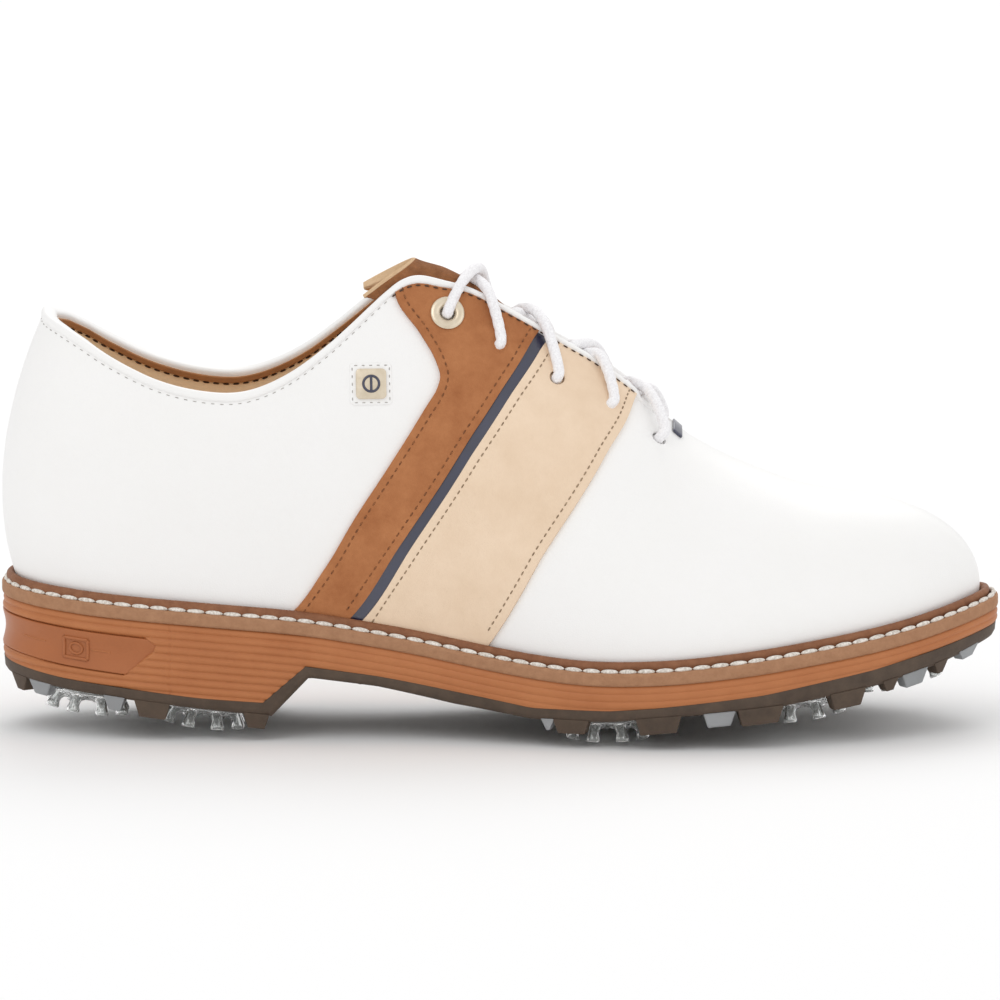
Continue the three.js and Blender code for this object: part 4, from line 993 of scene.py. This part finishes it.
def build_tongue_edge():
    """The pale raw edge round the free end of the tongue."""
    outer, inner = tongue_grid(0.0)[-1], tongue_grid(-4.0)[-1]
    path = (outer + inner) / 2
    share = np.linspace(0, 1, 5)[:, None, None]
    back = path - outer
    back /= np.linalg.norm(back, axis=1)[:, None]
    rows = outer[None] - back[None] * 0.1 + (inner - outer)[None] * share
    rows[..., 0] -= 0.5
    obj = thick("tongue_raw_edge", [rows.transpose(1, 0, 2)], -0.6, 0.6, RAW_EDGE, edge=0.3)
    settle(obj, "tongue", "lining_leather")


def build_tongue():
    obj = thick("tongue_leather", [tongue_grid(0.0)], -1.3, 0.0, SUEDE, edge=0.3)
    settle(obj, "tongue", "brown_leather", "tongue")
    obj = thick("tongue_foam", [tongue_grid(-1.6)], -2.2, 0.0, RAW_EDGE, edge=0.5)
    settle(obj, "tongue", "lining_leather")
    obj = thick("tongue_inner_leather", [tongue_grid(-4.1)], -0.8, 0.0, BROWN, edge=0.2)
    settle(obj, "tongue", "lining_leather", "tongue_lining")


# ---------------------------------------------------------------- sole
STATIONS = np.unique(np.concatenate([
    LENGTH * (0.5 - 0.5 * np.cos(np.linspace(0, np.pi, 210))),
    np.arange(36, 53, 0.4), np.arange(79, 92, 0.35), [81.5, 91.7, 92.6]]))


def plain_outline_at(side, x):
    us = np.linspace(0, 0.5, 1500) if side == LATERAL else np.linspace(1, 0.5, 1500)
    xs = outline(us)[:, 0]
    tip = xs.argmax()
    return np.interp(x, xs[:tip + 1], us[:tip + 1])


RING_U = np.concatenate([plain_outline_at(LATERAL, STATIONS),
                         plain_outline_at(MEDIAL, STATIONS[1:-1])[::-1]])
RING_X = outline(RING_U)[:, 0]


def ring(inset, height):
    inset = np.broadcast_to(inset, RING_X.shape)
    points = plan_points(RING_U, inset)
    z = height(points[:, 0]) if callable(height) else height
    return np.concatenate([points, np.broadcast_to(z, RING_X.shape)[:, None]], -1)


def stack(name, rings, material):
    """A solid from rings stacked from bottom to top, capped across the shoe."""
    n = len(RING_X)
    faces = ring_faces(len(rings), n).tolist()
    top = (len(rings) - 1) * n
    for i in range(n // 2):
        quad = [i, i + 1, (n - i - 1) % n, (n - i) % n]
        quad = list(dict.fromkeys(quad))
        if len(quad) > 2:
            faces.append(quad[::-1])
            faces.append([top + q for q in quad])
    return new_object(name, np.vstack(rings), faces, material)


def loop_piece(name, rings, material):
    """A ring-shaped solid, its section given once round."""
    faces = ring_faces(len(rings), len(RING_X), closed=True).tolist()
    return new_object(name, np.vstack(rings), faces, material)


def build_welt():
    inset = feather_inset(RING_X)
    angle = np.linspace(-0.5, np.pi + 0.35, 14)
    outer_foot, inner_foot = inset - 3.3, inset - 0.6
    middle, half = (outer_foot + inner_foot) / 2, (inner_foot - outer_foot) / 2
    ribs = []
    for a in angle:
        ribs.append(ring(middle - half * math.cos(a),
                         lambda x, a=a: welt_top(x) + 1.3 + 1.7 * math.sin(a)))
    ribs.append(ring(inset - 0.2, lambda x: welt_top(x) - 1.2))
    ribs.append(ring(outer_foot - 0.1, lambda x: welt_top(x) - 1.2))
    settle(loop_piece("storm_rib", ribs, RIB), "shoe", "welt_leather")
    band = [ring(inset + 1, lambda x: welt_top(x) - WELT_THICKNESS)]
    for t in np.linspace(0, 1, 12):
        edge = 0.35 + 0.55 * abs(2 * t - 1) ** 6
        band.append(ring(edge, lambda x, t=t: welt_top(x) - WELT_THICKNESS * (1 - t)))
    band.append(ring(1.4, lambda x: welt_top(x) + 0.05))
    band.append(ring(inset - 3.9, lambda x: welt_top(x) - 0.5))
    band.append(ring(inset + 1, lambda x: welt_top(x) - 0.5))
    settle(loop_piece("welt_band", band, WELT), "shoe", "welt_leather", "welt")
    groove = ring(1.75, lambda x: welt_top(x) + 0.35)
    groove = np.vstack([groove, groove[:1]])
    up = np.tile([0.0, 0.0, 1.0], (len(groove), 1))
    lean = np.gradient(groove, axis=0)
    side = np.cross(lean, up)
    normal = up + 0.45 * side / np.maximum(np.linalg.norm(side, axis=1), 1e-9)[:, None]
    verts, faces = capsules(groove, normal, 5.5, 5.3, 0.8, squash=1.0, ring=12, steps=13,
                            taper=2)
    settle(new_object("welt_stitch_row", verts, faces, WHITE_THREAD), "shoe", "stitch_thread",
           "welt_stitching")


GROOVE_PITCH, GROOVE_DEPTH = 2.3, 0.6
PANEL_RECESS = 1.3
PANEL_LOW, PANEL_HIGH = 0.2, 0.76    # the heel panel's share of the midsole's height


def midsole_top(x):
    return welt_top(x) - WELT_THICKNESS - 0.05


def panel_edge(t):
    """x of the heel panel's front end, from its lower edge (0) to its upper edge (1)."""
    return np.interp(t, [0, 0.7, 0.85, 1.0], [37.5, 46.5, 46.8, 44.0])


def build_midsole():
    rings = []
    for t in np.linspace(0, 1, 96):
        height = midsole_top(RING_X) - midsole_bottom(RING_X)
        depth = (1 - t) * height
        wave = np.abs(np.sin(np.pi * depth / GROOVE_PITCH))
        groove = (GROOVE_DEPTH - 0.3 * smoothstep(RING_X, 84, 100)) * (1 - wave) ** 1.3
        share = (t - PANEL_LOW) / (PANEL_HIGH - PANEL_LOW)
        inside = smoothstep(panel_edge(np.clip(share, 0, 1)) - RING_X, 0, 0.6)
        inside = inside * smoothstep(share, -0.03, 0.0) * (1 - smoothstep(share, 1.0, 1.03))
        groove = groove * (1 - inside) + PANEL_RECESS * inside
        shape = 0.5 + 0.5 * (1 - np.sin(np.pi * np.clip(t, 0.02, 0.98))) ** 2
        line = 0.35 * np.exp(-((RING_X - 51) / 0.25) ** 2)
        rings.append(ring(shape + groove + line, midsole_bottom(RING_X) * (1 - t)
                          + midsole_top(RING_X) * t))
    settle(stack("midsole_body", rings, MIDSOLE), "shoe", "stacked_leather", "midsole")
    build_heel_panel()


def panel_surface(x, share, depth):
    """A point of the heel panel's waisted face. Negative x lies on the medial side."""
    u = np.where(x < 0, plain_outline_at(MEDIAL, np.abs(x)), plain_outline_at(LATERAL, np.abs(x)))
    t = PANEL_LOW + (PANEL_HIGH - PANEL_LOW) * share
    ax = np.abs(x)
    waist = 0.55 + 0.9 * np.sin(np.pi * share) ** 1.3
    points = plan_points(u, waist + depth)
    z = midsole_bottom(ax) * (1 - t) + midsole_top(ax) * t
    return np.concatenate([points, z[..., None]], -1)


def build_heel_panel():
    share = np.linspace(0.015, 0.985, 40)
    run = np.linspace(-1, 1, 181)
    reach = panel_edge(share)
    x = np.sign(run)[:, None] * np.abs(run)[:, None] ** 1.7 * (reach[None] + 0.1)
    grid = panel_surface(x, np.broadcast_to(share[None], x.shape), 0.0)
    obj = thick("heel_panel_plate", [grid], -1.6, 0.0, PANEL, edge=0.3)
    settle(obj, "shoe", "stacked_leather", "heel_panel")
    lines = []
    for side in (1, -1):
        for start, end in ((6, 13), (27, 33)):
            xs = side * np.linspace(start, end, 20)
            points = panel_surface(xs, np.full(20, 0.52), -0.02)
            lines.append(tube_mesh(points, 0.18, 8))
    verts, faces = merge(lines)
    settle(new_object("heel_panel_lines", verts, faces, MIDSOLE), "shoe", "stacked_leather")
    build_heel_badge()


def build_heel_badge():
    """A plain raised square frame with a ring in it, on the lateral side of the panel."""
    half, rise, bead, middle = 3.6, 0.26, 0.5, 0.5
    corners = [(-1, -1), (1, -1), (1, 1), (-1, 1)]
    parts = []
    t = np.linspace(0, 1, 14)
    for a, b in zip(corners, corners[1:] + corners[:1]):
        xs = 22.5 + half * (a[0] + (b[0] - a[0]) * t)
        shares = middle + rise * (a[1] + (b[1] - a[1]) * t)
        parts.append(tube_mesh(panel_surface(xs, shares, -0.12), bead, 10))
    turn = np.linspace(0, 2 * np.pi, 40, endpoint=False)
    circle = panel_surface(22.5 + 1.9 * np.cos(turn), middle + 0.14 * np.sin(turn), -0.12)
    parts.append(tube_mesh(circle, bead * 0.8, 10, closed=True))
    verts, faces = merge(parts)
    settle(new_object("heel_badge", verts, faces, PANEL), "shoe", "stacked_leather")


# x of the middle, length and depth of each block under the edge
LUGS = [(4.5, 5, 4.0), (45.5, 11, 4.5), (77, 8, 4), (170.5, 11, 3.8), (197, 14, 4.6),
        (228, 14, 4.6), (254.5, 11, 4.6), (267.5, 5, 3.0), (283, 4.5, 3.2)]
CLEAR_LUGS = {"1": (11, 7, 3.6), "2": (215.5, 10, 4), "3": (275, 8, 4)}
MORE_CLEAR = [(34, 6.5, 3.8), (163.5, 4, 3.0), (291.5, 6, 2.6)]


LUG_STATIONS = 7


def lug_mesh(x, length, depth, side, lift, width=5.5):
    """A tapered block under the edge of the outsole, following it."""
    n = LUG_STATIONS
    xs = np.clip(np.linspace(-0.5, 0.5, n) * length + x, 0.8, LENGTH - 0.8)
    u = plain_outline_at(side, xs)
    outer, inner = plan_points(u, np.full(n, 1.3)), plan_points(u, np.full(n, 1.3 + width))
    base = outsole_bottom(xs) + lift
    taper = 1 - 2 * 1.5 / length
    low_x = x + (xs - x) * taper
    low_u = plain_outline_at(side, low_x)
    low_outer = plan_points(low_u, np.full(n, 1.9))
    low_inner = plan_points(low_u, np.full(n, 0.6 + width))
    tip = outsole_bottom(low_x) - depth
    rows = []
    for plan, z in ((outer, base), (low_outer, tip), (low_inner, tip), (inner, base)):
        rows.append(np.concatenate([plan, np.broadcast_to(z, (n,))[:, None]], -1))
    verts = np.vstack(rows)
    faces = []
    for k in range(4):
        for i in range(n - 1):
            a, b = k * n + i, ((k + 1) % 4) * n + i
            faces.append([a, a + 1, b + 1, b])
    faces.append([k * n for k in range(4)])
    faces.append([n - 1, 4 * n - 1, 3 * n - 1, 2 * n - 1])
    if side == LATERAL:
        faces = [face[::-1] for face in faces]
    return verts, faces


def cleat_frame(x, y):
    level = 150 < x < 200
    slope = 0 if level else (outsole_bottom(x + 9) - outsole_bottom(x - 9)) / 18
    axis = np.array([slope, 0, -1.0])
    return np.array([x, y, float(outsole_bottom(x))]), axis / np.linalg.norm(axis)


def disc_frame(axis):
    side = np.cross(axis, [0.0, 1.0, 0.0])
    side /= np.linalg.norm(side)
    return side, np.cross(axis, side)


def turned(centre, axis, profile, sides=40):
    """A turned shape: profile rows are (radius, distance along the axis)."""
    a, b = disc_frame(axis)
    angle = np.linspace(0, 2 * np.pi, sides, endpoint=False)
    rows = [centre + axis * h + r * (np.cos(angle)[:, None] * a + np.sin(angle)[:, None] * b)
            for r, h in profile]
    size = len(profile), sides
    return np.vstack(rows), ring_faces(*size).tolist() + end_faces(*size)


def build_outsole():
    rings = [ring(8.0, outsole_bottom), ring(3.0, outsole_bottom),
             ring(1.9, lambda x: outsole_bottom(x) + 0.25)]
    for t in (0.25, 0.5, 0.75, 1.0):
        rings.append(ring(1.35 - 0.35 * t, outsole_bottom(RING_X) * (1 - t)
                          + (midsole_bottom(RING_X) - 0.05) * t))
    obj = stack("outsole_body", rings, RUBBER)
    bevel(obj, 0.25, angle=50)
    settle(obj, "shoe", "outsole_rubber", "outsole")
    parts = [lug_mesh(*row, side, 0.6) for row in LUGS for side in (LATERAL, MEDIAL)]
    verts, faces = merge(parts)
    obj = new_object("outsole_lugs", verts, faces, RUBBER, smooth=False)
    bevel(obj, 0.5, 3)
    settle(obj, "shoe", "outsole_rubber")
    build_tread()
    for name, side in SIDES.items():
        for key, row in CLEAR_LUGS.items():
            verts, faces = lug_mesh(*row, side, 0.5)
            obj = bevel(new_object(f"clear_block_{name}_{key}", verts, faces, CLEAR_LUG, False),
                        0.5, 3)
            settle(obj, "shoe", "clear_tpu", f"clear_lug_{name}_{key}")
    parts = [lug_mesh(*row, side, 0.5, 4.5) for row in MORE_CLEAR for side in (LATERAL, MEDIAL)]
    verts, faces = merge(parts)
    obj = bevel(new_object("clear_blocks_small", verts, faces, CLEAR_LUG, False), 0.5, 3)
    settle(obj, "shoe", "clear_tpu")


def clear_of_cleats(x, y, gap):
    return all(math.hypot(x - cx, y - cy) > gap for cx, cy in CLEATS.values())


def build_tread():
    """Small diamond nubs over the sole's underside, clear of the cleats."""
    parts = []
    for x in np.arange(108, 288, 9.0):
        u_low, u_high = plain_outline_at(LATERAL, x), plain_outline_at(MEDIAL, x)
        low, high = outline(u_low)[1] + 11, outline(u_high)[1] - 11
        shift = 4.5 if int(x / 9) % 2 else 0
        for y in np.arange(-50 + shift, 50, 9.0):
            if not low < y < high or not clear_of_cleats(x, y, 18):
                continue
            base = float(outsole_bottom(x))
            centre = np.array([x, y, base])
            slope = float(outsole_bottom(x + 2) - outsole_bottom(x - 2)) / 4
            axis = np.array([slope, 0, -1.0])
            axis /= np.linalg.norm(axis)
            parts.append(turned(centre, axis, [(3.2, -0.3), (2.6, 0.9), (2.2, 1.2)], 4))
    verts, faces = merge(parts)
    obj = bevel(new_object("tread_nubs", verts, faces, RUBBER, False), 0.25)
    settle(obj, "shoe", "outsole_rubber")


def cleat_mesh():
    """One clear cleat in its own frame, legs pointing down, remeshed into one smooth body."""
    centre, axis = np.zeros(3), np.array([0.0, 0.0, -1.0])
    parts = [turned(centre, axis, [(11.6, 0.0), (12.2, 0.5), (12.0, 1.3), (10.2, 2.0), (5.5, 2.3),
                                   (4.6, 3.6), (3.4, 4.2), (0.4, 4.3)], 48),
             turned(centre, axis, [(4.1, -1.9), (4.1, 0.4)], 24)]
    for i in range(8):
        angle = 2 * math.pi * (i + 0.5) / 8
        out = np.array([math.cos(angle), math.sin(angle), 0])
        path = [out * r + axis * h for r, h in
                ((5.0, 1.6), (8.6, 2.0), (10.2, 3.4), (11.1, 5.2), (11.5, 7.0))]
        path = catmull(path, 0.5)
        end = np.linspace(0, 1, len(path))
        radius = 2.5 - 0.85 * smoothstep(end, 0.1, 0.7) + 0.45 * smoothstep(end, 0.75, 0.92)
        parts.append(tube_mesh(path, 1.0, 14, shape=lambda k, a: radius[:, None] + 0 * a))
    verts, faces = merge(parts)
    obj = new_object("cleat_draft", (verts + [LENGTH / 2, 0, -LIFT]), faces, CLEAR)
    remesh = obj.modifiers.new("one", "REMESH")
    remesh.mode = "VOXEL"
    remesh.voxel_size = 0.0004
    smooth = obj.modifiers.new("soft", "SMOOTH")
    smooth.factor = 0.5
    smooth.iterations = 5
    bake(obj)
    mesh = obj.data
    mesh.polygons.foreach_set("use_smooth", [True] * len(mesh.polygons))
    bpy.data.objects.remove(obj)
    return mesh


def build_cleats():
    shape = cleat_mesh()
    local = np.zeros(len(shape.vertices) * 3)
    shape.vertices.foreach_get("co", local)
    local = local.reshape(-1, 3) * 1000
    for name, (x, y) in CLEATS.items():
        centre, axis = cleat_frame(x, y)
        side, other = disc_frame(axis)
        seat = centre - axis * 0.2
        points = (seat + local[:, :1] * side + local[:, 1:2] * other - local[:, 2:3] * axis)
        mesh = shape.copy()
        mesh.vertices.foreach_set("co", place(points).ravel())
        mesh.update()
        obj = bpy.data.objects.new(f"soft_cleat_{name}", mesh)
        bpy.context.scene.collection.objects.link(obj)
        settle(obj, f"cleat_{name}", "clear_tpu", f"cleat_{name}")


# ---------------------------------------------------------------- inside
def build_footbed():
    def dish(x, y):
        return welt_top(x) + 4.2 + 1.6 * np.minimum((y / 30) ** 2, 1)
    rings = []
    inset = feather_inset(RING_X)
    for extra, drop in ((5.9, -4), (5.4, -1.2), (5.9, -0.2), (7.5, 0), (13, -0.7), (20, -1.2)):
        points = plan_points(RING_U, inset + extra)
        z = dish(points[:, 0], points[:, 1]) + drop
        rings.append(np.concatenate([points, z[:, None]], -1))
    obj = stack("footbed_pad", rings, FOOTBED)
    settle(obj, "shoe", "lining_leather", "footbed")


# ---------------------------------------------------------------- lace and small parts
OVER = 1.85 + LACE_RADIUS + 0.6
UNDER = -4.3 - LACE_RADIUS - 0.6


def at_eyelet(index, side, offset, slip=0.0):
    spot = locate(*EYELETS[index], 2, side)
    point = on_line(spot, np.full(1, offset))[0][0]
    point[1] -= side * slip
    return point


def over_gap(x, y, offset):
    side = LATERAL if y < 0 else MEDIAL
    spot = locate(x, float(ridge_y(x)) + y, 1, side)
    return on_line(spot, np.full(1, offset))[0][0]


def tucked(x, z, side):
    return on_line(locate(x, z, 2, side), np.full(1, UNDER - 0.9))[0][0]


LACE_STEP, BRAID_PITCH = 0.42, 3.4
CROSSING = (0, 1.2, -0.6, -0.6, -0.4)    # crossing i's height over the ridge, from 1


def strand(side, cross_offset):
    points = [tucked(128, 113, side), tucked(131, 119, side),
              at_eyelet(0, side, UNDER - 0.3, -1.4), at_eyelet(0, side, -1),
              at_eyelet(0, side, OVER - 1.2), at_eyelet(0, side, OVER + 0.3, 2.2)]
    for i in range(1, len(EYELETS)):
        start, end = EYELETS[i - 1][0], EYELETS[i][0]
        middle = (start + end) / 2
        if i > 1:
            points.append(over_gap(start + (middle - start) * 0.35, side * 6.4, UNDER + 0.5))
            points.append(over_gap(start + (middle - start) * 0.65, side * 4.2, -0.4))
        else:
            points.append(over_gap(start + (middle - start) * 0.45, side * 7.6, OVER - 0.2))
        points.append(over_gap(middle, side * 0.3, CROSSING[i] + cross_offset))
        side = -side
        points += [over_gap(end - (end - middle) * 0.6, side * 6.8, OVER - 0.5),
                   at_eyelet(i, side, OVER - 0.9, 1.6), at_eyelet(i, side, OVER - 2.6),
                   at_eyelet(i, side, -2.6), at_eyelet(i, side, UNDER - 0.2, 0.8)]
    return points


def build_lace():
    bar = over_gap(EYELETS[4][0], 0.0, UNDER - 0.8)
    route = strand(LATERAL, 1.9) + [bar] + strand(MEDIAL, -1.7)[::-1]
    path = catmull(route, LACE_STEP)

    def braid(k, a):
        turn = k * LACE_STEP / BRAID_PITCH * 2 * np.pi
        weave = np.maximum(np.cos(4 * a + turn), np.cos(4 * a - turn))
        return LACE_RADIUS * (0.955 + 0.055 * weave)
    verts, faces = tube_mesh(path, LACE_RADIUS, 24, shape=braid)
    settle(new_object("round_lace", verts, faces, LACE), "shoe", "lace_cotton", "lace")


def build_eyelets():
    for name, side in SIDES.items():
        spot = locate(*EYELETS[0], 2, side)
        centre, normal = on_line(spot, np.full(1, OVERLAY_TOP))
        angle = np.linspace(0, 2 * np.pi, 16, endpoint=False)
        section = [(3.75 + 1.35 * math.cos(a), 0.35 + 0.42 * math.sin(a)) for a in angle]
        section = section + section[:1]
        barrel = [(2.7, -3.2), (2.7, 0.4), (2.3, 0.4), (2.3, -3.2), (2.7, -3.2)]
        shapes = [turned(centre[0], normal[0], profile, 48) for profile in (section, barrel)]
        verts, faces = merge([(points, quads[:-2]) for points, quads in shapes])
        settle(new_object(f"eyelet_ring_{name}", verts, faces, METAL), "shoe",
               "champagne_metal", f"eyelet_{name}")


def tangent_frame(spot):
    """Point, outward normal, forward and up directions on the upper."""
    centre, normal = on_line(spot, np.zeros(1))
    normal = normal[0]
    up = np.array([0.0, 0.0, 1.0]) - normal * normal[2]
    up /= np.linalg.norm(up)
    return centre[0], normal, np.cross(up, normal) * -1, up


def rounded_plate(centre, normal, right, up, half, corner, low, high):
    """A square plate with round corners, lying on a surface."""
    outline_points = []
    for k, (sx, sy) in enumerate(((1, 1), (-1, 1), (-1, -1), (1, -1))):
        for a in np.linspace(0, np.pi / 2, 7):
            angle = a + k * np.pi / 2
            outline_points.append((sx * (half - corner) + corner * math.cos(angle),
                                   sy * (half - corner) + corner * math.sin(angle)))
    n = len(outline_points)
    rows = []
    for h in (low, high):
        rows += [centre + normal * h + right * px + up * py for px, py in outline_points]
    faces = [[i, (i + 1) % n, (i + 1) % n + n, i + n] for i in range(n)]
    faces += [list(range(n))[::-1], list(range(n, 2 * n))]
    return np.array(rows), faces


def build_emblem():
    """A small metal badge with a plain inlaid ring and bar, on a stitched patch."""
    spot = locate(*EMBLEM, 2, LATERAL)
    centre, normal, right, up = tangent_frame(spot)
    verts, faces = rounded_plate(centre, normal, right, up, 6.3, 1.2, -0.3, 0.35)
    obj = bevel(new_object("badge_patch", verts, faces, WHITE), 0.2)
    settle(obj, "shoe", "white_leather", "emblem_patch")
    verts, faces = rounded_plate(centre, normal, right, up, 4.55, 1.3, 0.2, 1.35)
    obj = bevel(new_object("badge_plate", verts, faces, METAL), 0.3, 3)
    settle(obj, "shoe", "champagne_metal", "emblem_plate")
    angle = np.linspace(0, 2 * np.pi, 48, endpoint=False)
    circle = np.array([centre + normal * 1.3 + right * 2.35 * math.cos(a)
                       + up * 2.35 * math.sin(a) for a in angle])
    parts = [tube_mesh(circle, 0.42, 10, closed=True)]
    line = np.array([centre + normal * 1.3 + up * t for t in np.linspace(-2.3, 2.3, 9)])
    parts.append(tube_mesh(line, 0.42, 10))
    verts, faces = merge(parts)
    settle(new_object("badge_inlay", verts, faces, NAVY), "shoe", "navy_leather")
    t = np.linspace(-1, 1, 20)
    rows = []
    for a, b in (((-1, -1), (1, -1)), ((1, -1), (1, 1)), ((1, 1), (-1, 1)), ((-1, 1), (-1, -1))):
        a, b = np.array(a) * 5.6, np.array(b) * 5.6
        line = [(a + (b - a) * (s + 1) / 2) for s in t]
        path = np.array([centre + normal * 0.38 + right * p[0] + up * p[1] for p in line])
        rows.append((path, np.tile(normal, (20, 1))))
    stitch_piece("badge_stitches", rows, GREY_THREAD, "stitch_thread", pitch=2.2, length=1.0,
                 radius=0.16)


def build_tab():
    """The small woven tab at the foot of the throat."""
    grid = []
    for x in np.linspace(201.4, 204.0, 5):
        row = []
        for y in np.linspace(-9.0, 5.0, 15):
            side = LATERAL if y < 0 else MEDIAL
            row.append(locate(x, float(ridge_y(x)) + (y or 0.05), 1, side)[0])
        grid.append(row)
    places = np.array(grid)
    surface = upper(places[..., 0], places[..., 1])
    obj = thick("throat_loop", [surface], 0.05, 0.85, NAVY, edge=0.2)
    settle(obj, "shoe", "navy_leather", "throat_tab")


# ---------------------------------------------------------------- carried-over pieces and stage
def paint_inner():
    # vamp_lining takes the lining with painted light, paler than the leather to lift the shade
    # inside the shoe.
    paints = {"insole_board": BOARD, "cork_filler": CORK, "shank": STEEL, "heel_counter": BOARD,
              "toe_puff": BOARD, "vamp_lining": LINING_PAINTED_LIGHT}
    for name in CLEATS:
        paints[f"cleat_receptacle_{name}"] = RUBBER
    for name, material in paints.items():
        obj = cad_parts[name]
        obj.data.materials.clear()
        obj.data.materials.append(material)


FLOOR_SIZE = 3.0                # metres from its middle to an edge
WORLD_STRENGTH = 0.86
# place and width in metres, and power in watts
LIGHTS = {
    "key": ((-0.7, -1.3, 1.5), 1.2, 5.0),
    "fill": ((1.2, -1.0, 0.9), 1.0, 1.5),
    "rim": ((0.2, 1.4, 1.5), 1.2, 9.0),
}


def build_stage():
    mesh = bpy.data.meshes.new("floor")
    size = FLOOR_SIZE
    mesh.from_pydata([(-size, -size, 0), (size, -size, 0), (size, size, 0), (-size, size, 0)], [],
                     [(0, 1, 2, 3)])
    floor = bpy.data.objects.new("floor", mesh)
    floor.location.z = -0.0005
    bpy.context.scene.collection.objects.link(floor)
    material, _, principled = shader("pale_floor", Roughness=0.9)
    principled.inputs["Base Color"].default_value = (0.92, 0.92, 0.92, 1)
    mesh.materials.append(material)
    world = bpy.data.worlds.new("studio")
    bpy.context.scene.world = world
    world.use_nodes = True
    world.node_tree.nodes["Background"].inputs["Color"].default_value = (1, 1, 1, 1)
    world.node_tree.nodes["Background"].inputs["Strength"].default_value = WORLD_STRENGTH
    for name, (spot, width, power) in LIGHTS.items():
        light = bpy.data.lights.new(name, "AREA")
        light.size = width
        light.energy = power
        lamp = bpy.data.objects.new(name, light)
        lamp.location = spot
        direction = -np.array(spot) + [0, 0, 0.06]
        lamp.rotation_euler = Vector(direction).to_track_quat("-Z", "Y").to_euler()
        bpy.context.scene.collection.objects.link(lamp)


ELEVATION = math.radians(9)
DISTANCE = 8.0
VIEW_WIDTH = 0.3000
VIEW_CENTRE = (-0.0002, 0.0, 0.0673)


def build_camera():
    data = bpy.data.cameras.new("camera")
    data.lens = 36.0 * DISTANCE / VIEW_WIDTH
    data.clip_end = 50
    camera = bpy.data.objects.new("camera", data)
    x, y, z = VIEW_CENTRE
    camera.location = (x, y - DISTANCE * math.cos(ELEVATION), z + DISTANCE * math.sin(ELEVATION))
    camera.rotation_euler = (math.pi / 2 - ELEVATION, 0, 0)
    bpy.context.scene.collection.objects.link(camera)
    bpy.context.scene.camera = camera
    bpy.context.scene.view_settings.view_transform = "Standard"


build_camera()
build_lace()
build_stage()
build_base()
seam_lines = build_overlays()
build_seams(seam_lines)
build_binding()
build_lining()
build_heel_grip()
build_tongue()
build_tongue_edge()
build_welt()
build_midsole()
build_outsole()
build_cleats()
build_footbed()
build_eyelets()
build_emblem()
build_tab()
paint_inner()
for cutter in PUNCH.values():
    bpy.data.objects.remove(cutter)
